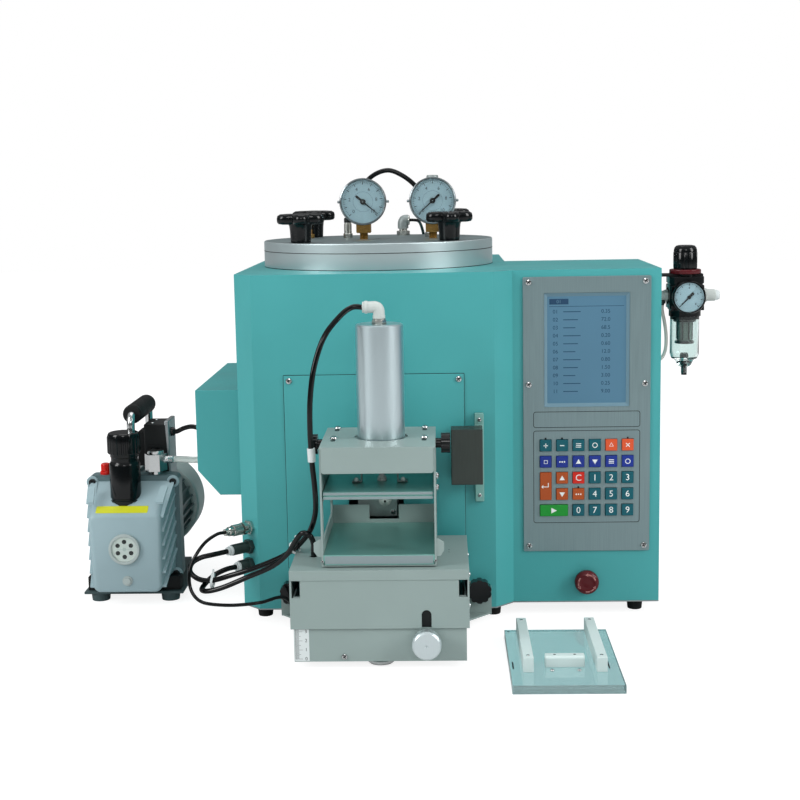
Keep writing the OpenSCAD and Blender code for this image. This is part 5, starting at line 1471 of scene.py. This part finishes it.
class OBJECT_OT_injector_regulator(bpy.types.Operator):
    """Makes the air regulator with its bowl, gauge and knob."""
    bl_idname = "object.injector_regulator"
    bl_label = "Air regulator"

    def execute(self, context):
        x, y = REGULATOR
        top = REGULATOR_TOP
        self.body(x, y, top)
        self.bowl(x, y, top - 47)
        self.gauge(x, y - 20, top - 23)
        self.knob(x, y, top + 8.2)
        return {"FINISHED"}

    def body(self, x, y, top):
        """The housing with its bracket, red ring and neck."""
        form = Form()
        place = upright(x, y, 0)
        foot = top - 47
        form.rod(18.6, foot, foot + 8, place, 64)
        outline = rounded_box(40, 40, 6)
        form.prism(outline, foot + 9.5, top - 10, place)
        form.prism(rounded_box(37, 37, 8), foot + 7.5, foot + 9.6, place)
        form.prism(rounded_box(38, 38, 9), top - 10.1, top - 8, place)
        form.prism(rounded_box(40, 40, 8), top - 8.1, top, place)
        for s in (-1, 1):
            boss = rightward if s > 0 else leftward
            form.turned([(0, 17), (12.0, 17), (12.0, 19.9), (10.5, 20), (0, 20)],
                        boss(x, y, top - 23), 48)
            for z in (top - 36, top - 14):
                form.block((x + s * 17.5 - 1.6, y - 20.2, z - 3), (x + s * 17.5 + 1.6, y - 18, z + 3))
        form.finish = 1
        form.block((x - 33.2, y - 10, top), (x + 19.5, y + 10, top + 3))
        form.finish = 2
        form.turned([(11, top + 2.9), (18.2, top + 2.9), (18.4, top + 3.5), (18.4, top + 7.2),
                     (17.6, top + 8), (11, top + 8), (11, top + 2.9)], place, 72)
        form.finish = 0
        form.turned([(0, top), (11.9, top), (11.9, top + 13.6), (0, top + 14)], place, 48)
        settle(form, "regulator_housing", ("black_plastic", "matt_black", "stop_red"), "cabinet",
               ("regulator_body",), edge=0.4)

    def bowl(self, x, y, foot):
        """The clear bowl, and the filter and drain in it."""
        place = upright(x, y, 0)
        form = Form()
        form.turned([(3.5, foot - 68), (3.5, foot - 61), (7.8, foot - 58.5), (10.9, foot - 52),
                     (14.9, foot - 50), (16.7, foot - 46.6), (17, foot - 44), (17, foot - 0.1),
                     (15.2, foot - 0.1), (15.2, foot - 43.5), (13.6, foot - 47.6),
                     (9.4, foot - 49.8), (3.5, foot - 50.5), (3.5, foot - 68)], place, 72)
        settle(form, "regulator_bowl_shell", "clear_bowl", "cabinet",
               ("regulator_bowl",))
        form = Form()
        form.turned([(0, foot), (16.9, foot), (16.9, foot - 3.4), (13, foot - 3.8),
                     (13, foot - 6.4), (0, foot - 6.4)], place, 64)
        form.finish = 1
        form.turned([(0, foot - 6), (8.6, foot - 6), (9.0, foot - 9), (9.0, foot - 27),
                     (8.2, foot - 29.6), (0, foot - 30)], place, 48)
        form.finish = 2
        form.turned([(0, foot - 29.6), (10.6, foot - 29.6), (11.4, foot - 31),
                     (11.4, foot - 32.4), (0, foot - 32.6)], place, 48)
        form.turned([(0, foot - 45), (4.2, foot - 45), (5.2, foot - 48.4), (3.3, foot - 50.4),
                     (3.3, foot - 70), (1.7, foot - 70), (1.7, foot - 66), (0, foot - 66)],
                    place, 36)
        for i in range(8):
            spin = upright(x, y, 0, 45 * i + 22.5)
            form.block((8.8, -0.5, foot - 28), (9.9, 0.5, foot - 7), spin)
        settle(form, "regulator_filter", ("matt_black", "filter_white", "black_plastic"),
               "cabinet")

    def gauge(self, x, y, z):
        """The small gauge at the front, with its glass and pointer."""
        place = frontward(x, y, z)
        form = Form()
        form.turned([(0, -5), (6.9, -5), (6.9, 0.8), (17.6, 1.4), (19.0, 2.4), (19.2, 3.6),
                     (19.2, 10.8), (18.6, 11.9), (17.8, 12), (17.2, 11.4), (17.2, 8.6), (0, 8.6)],
                    place, 80)
        form.turned([(1, 8.5), (1, 10.3), (0, 10.5)], place, 20)
        form.finish = 1
        form.collar(1.0, 17.1, 8.55, 8.9, place, 64)
        form.finish = 2
        dial_marks(form, place, 17, -135, 135, 8, 5, ["0", "2", "4", "6", "8"], 3.6, 8.9)
        settle(form, "regulator_gauge_case", ("black_plastic", "dial_white", "print_black"),
               "cabinet", ("regulator_gauge",))
        form = Form()
        form.turned([(0, 11.0), (17.2, 10.9), (17.2, 11.3), (0, 11.6)], place, 64)
        settle(form, "regulator_gauge_glass", "glass", "cabinet")
        form = Form()
        pointer(form, frontward(x, y - 9.4, z), 17, 225)
        settle(form, "regulator_pointer", "needle_black", "regulator_needle",
               ("regulator_needle",))

    def knob(self, x, y, base):
        """The fluted knob on top."""
        place = upright(x, y, base)
        form = Form()
        form.turned([(12.3, 6.8), (12.3, 0), (13.2, 0), (13.6, 0.6), (13.8, 2), (13.9, 2.5),
                     (13.9, 19), (13.4, 20)], place, 160,
                    lambda a: 1 if math.cos(a * 20) > -0.2 else 0.965)
        form.turned([(0, 19.5), (13.5, 19.5), (13.4, 22), (12.6, 25), (10.8, 27.1), (8, 27.8),
                     (0, 28)], place, 72)
        form.rod(12.35, 6.8, 19.6, place, 48)
        settle(form, "regulator_grip", "black_plastic", "regulator_knob",
               ("regulator_knob",), angle=28)


class OBJECT_OT_injector_sockets(bpy.types.Operator):
    """Makes the hose sockets of the cabinet's side and the regulator's fittings."""
    bl_idname = "object.injector_sockets"
    bl_label = "Sockets and fittings"

    def execute(self, context):
        form = Form()
        # Knurled metal connector of the thin cable
        place = chamferward(113)
        form.hexagon(18, 0, 4, place)
        form.turned([(0, 4), (7.5, 4), (7.5, 5.2), (6.6, 5.6), (6.6, 7), (7.5, 7.4), (7.5, 12),
                     (6.6, 12), (0, 12)], place, 48)
        form.knurled(6.7, 12.4, 26, 40, 0.3, place)
        form.turned([(0, 26), (5.6, 26.4), (5.6, 31), (4.4, 32), (4.1, 36.8), (0, 36.8)], place, 40)
        # Hose sockets: hexagon, collar and release ring
        for z, body, length, across in ((90, 30, 34, 18), (69, 20, 22.6, 16)):
            place = chamferward(z)
            form.finish = 1
            form.hexagon(across, 0, 6, place)
            form.turned([(0, 5.8), (6.5, 5.8), (6.5, body - 3), (6.0, body - 2), (0, body - 2)],
                        place, 44)
            form.hexagon(13, body - 9, body - 3.5, place)
            form.finish = 2
            form.turned([(3.1, body - 2.1), (5.9, body - 2.1), (5.9, body), (4.9, body + 0.8),
                         (4.9, length), (3.1, length), (3.1, body - 2.1)], place, 40)
        # Regulator's fittings, bleed nipple and cable gland
        x, y = REGULATOR
        z = REGULATOR_TOP - 23
        place = rightward(x, y, z)
        form.finish = 3
        form.hexagon(16, 20, 25.5, place)
        form.turned([(0, 25.4), (6.9, 25.4), (6.9, 34.6), (6.2, 35.4), (0, 35.4)], place, 44)
        form.finish = 2
        form.turned([(3.2, 35.2), (5.9, 35.2), (5.9, 38), (5.0, 39), (5.0, 40), (3.2, 40),
                     (3.2, 35.2)], place, 40)
        place = leftward(x, y, z)
        form.finish = 3
        form.hexagon(14, 20, 25, place)
        form.rod(6, 25, 33.2, place, 40)
        form.finish = 1
        place = upright(TOWER_X + 92.5, y, 0)
        form.turned([(0, z - 11), (2.6, z - 11), (2.6, z - 9.4), (3.9, z - 9), (3.9, z - 4),
                     (0, z - 4)], place, 32)
        place = rightward(-87, -12, 19)
        form.turned([(0, 0), (3.0, 0), (3.9, 1.2), (3.9, 4.9), (0, 4.9)], place, 32)
        settle(form, "side_sockets", ("nickel", "socket_dark", "tie_white", "pale_grey"),
               "cabinet", ("hose_fittings",))
        return {"FINISHED"}


# ---- Pump ----

class OBJECT_OT_injector_pump(bpy.types.Operator):
    """Adds the fine pieces of the vacuum pump."""
    bl_idname = "object.injector_pump"
    bl_label = "Vacuum pump"

    def execute(self, context):
        self.casting()
        self.sight_glass()
        self.strip()
        self.bolts()
        self.filter()
        self.cap()
        self.inlet()
        self.handle()
        self.switch()
        self.feet()
        return {"FINISHED"}

    def casting(self):
        """The tapered oil case with its slanted ribs, and the flange behind it."""
        form = Form()
        sections = []
        # Depth, reach to the left and right, low, top and corner of each section
        for y, left, right, low, top, corner in (
                (62.0, 41.5, 38.5, 22.0, 112.6, 5), (62.9, 44.4, 41.4, 19.9, 115.4, 7),
                (65.0, 46.0, 43.0, 19.0, 117.6, 8), (88.0, 49.4, 47.6, 24.6, 133.4, 9),
                (110.4, 52.6, 52.2, 30.0, 149.0, 10)):
            width, height = left + right, top - low
            outline = rounded_box(width, height, corner, 7)
            ring = []
            for x, z in outline:
                share = max(0.0, -z / height - 0.2)
                ring.append((PUMP_X + (right - left) / 2 + x * (1 - 0.22 * share), y,
                             (low + top) / 2 + z))
            sections.append(ring)
        form.loft(sections)
        for s in (-1, 1):
            front_x, back_x = (45.6, 53.0) if s > 0 else (48.6, 53.4)
            for i in range(7):
                low = 24 + 17.5 * i
                self.rib(form, s, front_x, back_x, low)
        form.finish = 1
        flange = frontward(PUMP_X, 132, 89)
        form.prism(rounded_box(115, 134, 8), 0, 20.6, flange)
        form.prism(rounded_box(112.6, 131.6, 7), 20.5, 22, flange)
        form.finish = 0
        for s in (-1, 1):
            for z in PUMP_BOLT_Z:
                form.turned([(0, 21), (7.6, 21), (7.6, 22.6), (6.8, 23.4), (0, 23.4)],
                            frontward(PUMP_X + s * PUMP_BOLT_X, 132, z), 32)
        settle(form, "oil_case_casting", ("pump_paint", "pump_shade"), "cabinet",
               ("pump_case",), angle=40)

    def rib(self, form, s, front_x, back_x, low):
        """One slanted rib from the front edge up to the flange."""
        start, end, rise = 66.0, 110.0, 36.0
        top = 145.0
        if low + rise > top:
            share = (top - low) / rise
            end = start + (end - start) * share
            back_x = front_x + (back_x - front_x) * share
            rise = top - low
        form.loft([[(PUMP_X + s * (x + reach), y, z + across)
                    for reach, across in ((-9.0, 0), (0, 0.7), (0, 2.6), (-9.0, 3.3))]
                   for y, x, z in ((start, front_x, low), (end, back_x, low + rise))])

    def sight_glass(self):
        """The round oil window with its ring, and the drain plug under it."""
        x, z = PUMP_X - 3, 74
        place = frontward(x, 0, z)
        face = -PUMP_FACE
        form = Form()
        form.turned([(15.6, face + 0.5), (19.2, face + 0.5), (19.2, face + 3.0),
                     (18.6, face + 3.7), (16.3, face + 3.7), (15.6, face + 3.0),
                     (15.6, face + 0.5)], place, 72)
        form.finish = 1
        form.rod(15.7, face + 0.9, face + 1.3, place, 64)
        form.finish = 2
        for i in range(6):
            right, up = polar(9.4, 60 * i + 30)
            spot = frontward(x + right, 0, z + up)
            form.rod(2.8, face + 1.1, face + 1.42, spot, 28)
        form.finish = 0
        form.rod(2.3, face + 1.2, face + 1.5, place, 28)
        form.block((-9.5, -0.25, face + 1.25), (9.5, 0.25, face + 1.45), place)
        # Drain plug low on the front
        plug = frontward(x + 2, 0, 34)
        form.rod(6.2, face, face + 1.2, plug, 40)
        form.hexagon(9.6, face + 1.1, face + 2.9, plug)
        settle(form, "pump_sight_glass", ("motor_paint", "pale_grey", "print_black"), "cabinet")
        form = Form()
        form.turned([(0, face + 2.3), (15.5, face + 2.1), (15.5, face + 2.5), (0, face + 2.9)],
                    place, 64)
        settle(form, "pump_sight_window", "glass", "cabinet")

    def strip(self):
        """A blank coloured strip on the sloping shoulder of the oil case."""
        form = Form()
        rise = math.atan2(15.8, 23.0)
        place = Matrix.Translation((PUMP_X, 65, 117.6)) @ Matrix.Rotation(rise, 4, "X")
        form.prism(rounded_box(64, 11.5, 1.6), 0.0, 0.35, moved(place, -6, 6.8))
        settle(form, "pump_strip", "label_yellow", "cabinet")

    def bolts(self):
        """Cap screws at the corners of the flange."""
        form = Form()
        for s in (-1, 1):
            for z in PUMP_BOLT_Z:
                spot = frontward(PUMP_X + s * PUMP_BOLT_X, 110, z)
                form.turned([(1.9, 0), (4.3, 0), (4.3, 3.6), (3.7, 4.2), (1.9, 4.2), (1.9, 2.2),
                             (0, 2.2)], spot, 32)
        settle(form, "pump_flange_bolts", "matt_black", "cabinet")

    def filter(self):
        """The tall exhaust filter with its fluted cap."""
        x, y = PUMP_X - 5.5, PUMP_FACE + 32
        place = upright(x, y, 0)
        form = Form()
        form.turned([(0, 107), (13.8, 107), (13.8, 121), (18.9, 121), (18.9, 125), (18.2, 126),
                     (18.2, 132), (18.9, 133), (18.9, 174), (18.2, 176), (16.6, 178.5),
                     (16.6, 183), (17.3, 184), (17.3, 188), (0, 188)], place, 72)
        form.turned([(16, 187.9), (19.4, 187.9), (20.2, 189), (20.4, 190), (20.4, 208),
                     (19.9, 210)], place, 240, lambda a: 1 if math.cos(a * 24) > -0.1 else 0.965)
        form.turned([(0, 209.4), (19.6, 209.4), (19.5, 211), (18.6, 213), (17, 213.9),
                     (8, 214), (0, 214)], place, 72)
        settle(form, "exhaust_filter_body", "black_plastic", "cabinet",
               ("exhaust_filter",), angle=28)
        form = Form()
        form.collar(19.0, 19.6, 128.5, 130.5, place, 64)
        settle(form, "filter_seam", "matt_black", "cabinet")

    def cap(self):
        """The red fluted cap of the oil filler."""
        place = upright(PUMP_X - 36, 121, PUMP_TOP)
        form = Form()
        form.turned([(0, 0), (6.8, 0), (7, 0.6), (7, 3.4), (6.4, 4), (0, 4)], place, 48)
        form.turned([(0, 3.8), (5.2, 3.8), (5.9, 4.6), (5.9, 11.8), (5.0, 13.4), (3.4, 14),
                     (0, 14)], place, 96, lambda a: 1 if math.cos(a * 8) > -0.3 else 0.93)
        settle(form, "oil_filler_cap", "cap_red", "cabinet", ("oil_cap",), angle=30)

    def inlet(self):
        """The hexagonal inlet with its top and its barb."""
        place = upright(PUMP_X + 28, 120, PUMP_TOP)
        form = Form()
        form.rod(8, 0, 5, place, 40)
        form.hexagon(28, 4, 26, place)
        form.turned([(0, 25.8), (10.4, 25.8), (10.4, 28.4), (9.4, 29.6), (0, 30)], place, 48)
        barb = rightward(PUMP_X + 28, 120, 174)
        form.turned([(0, 9), (5.4, 9), (5.4, 12), (4.4, 12.4), (4.0, 15.9), (5.1, 16),
                     (4.0, 18.8), (5.1, 18.9), (4.0, 21.7), (5.0, 21.8), (4.1, 23), (0, 23)],
                    barb, 40)
        settle(form, "pump_inlet_block", "bright_steel", "cabinet",
               ("pump_inlet",), angle=30)

    def handle(self):
        """The bent rod and its thick grip."""
        form = Form()
        x = PUMP_X
        line = [(x, 112, 156), (x, 112, 190), (x, 112, 216), (x, 113.4, 224), (x, 117, 229.4),
                (x, 123, 231), (x, 140, 231), (x, 194, 231), (x, 211, 231), (x, 217, 229.4),
                (x, 220.6, 224), (x, 222, 216), (x, 222, 190), (x, 222, 156)]
        form.pipe(smooth_route(line, 6), 5, 36)
        for y in (112, 222):
            form.turned([(4.9, 0), (8.2, 0), (8.2, 2.2), (7.2, 3.4), (4.9, 3.4), (4.9, 0)],
                        upright(x, y, PUMP_TOP if y == 112 else PUMP_TOP + 2), 40)
        form.finish = 1
        grip = Matrix.Translation((x, 122, 231)) @ Matrix.Rotation(math.radians(-90), 4, "X")
        profile = [(4.9, 0), (10.4, 0), (11.8, 1.2), (12, 2.6)]
        for i in range(28):
            low = 3.4 + i * 3.0
            profile += [(12, low), (12, low + 2.0), (11.5, low + 2.3), (11.5, low + 2.7)]
        profile += [(12, 87.4), (11.8, 88.8), (10.4, 90), (4.9, 90), (4.9, 0)]
        form.turned(profile, grip, 56)
        settle(form, "carrying_handle", ("bright_steel", "black_rubber"), "cabinet",
               ("pump_handle",), angle=30)

    def switch(self):
        """Rocker switch, screws and cable gland of the switch box."""
        form = Form()
        middle = PUMP_X + 24
        form.screw(upright(middle - 4, 146, 216, 25), 2.4, 1.0)
        form.screw(upright(middle - 4, 171, 216, 60), 2.4, 1.0)
        front = frontward(middle, 135, 178)
        form.prism(rounded_box(15, 22, 1.5), 0, 1.0, front)
        form.finish = 2
        form.prism(bar(5.8, 4.5, -4.5), 0.9, 2.4, front)
        form.prism(bar(5.8, 4.5, 4.5), 0.9, 1.8, front)
        form.finish = 0
        form.figures("I", 4.6, moved(front, 0, 5, 1.82), 0.1)
        form.figures("O", 4.6, moved(front, 0, -5, 2.42), 0.1)
        form.finish = 1
        form.block((PUMP_X + 1.2, 141, 162), (PUMP_X + 10.9, 176, 205))
        form.finish = 2
        gland = rightward(PUMP_X + 43, 150, 204)
        form.turned([(3.1, 0), (5.6, 0), (5.6, 3), (4.2, 5), (3.1, 5), (3.1, 0)], gland, 32)
        settle(form, "pump_switch", ("bright_steel", "matt_black", "black_plastic"), "cabinet")

    def feet(self):
        """Screw heads over the rubber feet, and the dark blocks at the front ones."""
        form = Form()
        for x, y in ((-44, 100), (44, 100), (-30, 236), (30, 236)):
            form.screw(upright(PUMP_X + x, y, 13), 3.4, 1.6)
        for s in (-1, 1):
            low, high = sorted((PUMP_X + s * 38, PUMP_X + s * 58))
            form.block((low, 94, 13.2), (high, 109.8, 30))
        settle(form, "pump_foot_screws", ("nickel", "black_rubber"), "cabinet")


# ---- Mould plate ----

class OBJECT_OT_injector_mould(bpy.types.Operator):
    """Adds the screws, slots and pins of the mould plate."""
    bl_idname = "object.injector_mould"
    bl_label = "Mould plate"

    def execute(self, context):
        left, front = PLATE
        form = Form()
        for x in (13, 89):
            for y in (46, 165):
                form.screw(upright(left + x + 5.5, front + y, 25.3, 20 + y), 2.0, 0.5)
        for x in (43.5, 71.5):
            form.screw(upright(left + x, front + 44, 9.3, x), 2.4, 1.6)
        for x in (45, 70):
            form.turned([(0, -0.2), (2.2, -0.2), (2.2, 5.2), (1.7, 6), (0, 6)],
                        upright(left + x, front + 74, 9.3), 28)
        for x in (3.6, 103.4):
            form.prism(rounded_box(1.6, 22, 0.8), 9.25, 9.36, upright(left + x, front + 60, 0))
        for x in (4.2, 103.0):
            form.rod(1.5, 9.25, 9.36, upright(left + x, front + 172, 0), 20)
        settle(form, "mould_screws", SCREW, "cabinet")
        form = Form()
        form.block((left + 37.2, front + 53.4, 13.6), (left + 77.8, front + 53.1, 14.0))
        for x in (47, 68):
            form.rod(1.5, 0, 0.06, upright(left + x, front + 59.5, 21.3), 20)
        settle(form, "mould_block_lines", "print_black", "cabinet")
        return {"FINISHED"}


# ---- Panel and start ----

class VIEW3D_PT_injector(bpy.types.Panel):
    """Lists the injector's groups and their settings."""
    bl_label = "Wax injector"
    bl_idname = "VIEW3D_PT_injector"
    bl_space_type = "VIEW_3D"
    bl_region_type = "UI"
    bl_category = "Wax injector"

    def draw(self, context):
        scene = context.scene
        for title, settings in (("Stage", scene.injector_stage), ("Looks", scene.injector_looks),
                                ("Hoses", scene.injector_hoses)):
            box = self.layout.box()
            box.label(text=title)
            for key in settings.bl_rna.properties.keys():
                if key not in ("rna_type", "name"):
                    box.prop(settings, key)
        for group in GROUPS:
            self.layout.operator(group.bl_idname)


SETTINGS = (("injector_stage", InjectorStage), ("injector_looks", InjectorLooks),
            ("injector_hoses", InjectorHoses))
GROUPS = (
    OBJECT_OT_injector_stage,
    OBJECT_OT_injector_hoses,
    OBJECT_OT_injector_finishes,
    OBJECT_OT_injector_screws,
    OBJECT_OT_injector_panel,
    OBJECT_OT_injector_keys,
    OBJECT_OT_injector_gauges,
    OBJECT_OT_injector_lid_knobs,
    OBJECT_OT_injector_lid_fittings,
    OBJECT_OT_injector_clamp,
    OBJECT_OT_injector_regulator,
    OBJECT_OT_injector_sockets,
    OBJECT_OT_injector_pump,
    OBJECT_OT_injector_mould,
)


def register():
    for name, kind in SETTINGS:
        bpy.utils.register_class(kind)
        setattr(bpy.types.Scene, name, PointerProperty(type=kind))
    for group in GROUPS:
        bpy.utils.register_class(group)
    bpy.utils.register_class(VIEW3D_PT_injector)


def unregister():
    bpy.utils.unregister_class(VIEW3D_PT_injector)
    for group in reversed(GROUPS):
        bpy.utils.unregister_class(group)
    for name, kind in reversed(SETTINGS):
        delattr(bpy.types.Scene, name)
        bpy.utils.unregister_class(kind)


def main():
    register()
    for group in GROUPS:
        family, call = group.bl_idname.split(".")
        getattr(getattr(bpy.ops, family), call)()


if __name__ == "__main__":
    main()
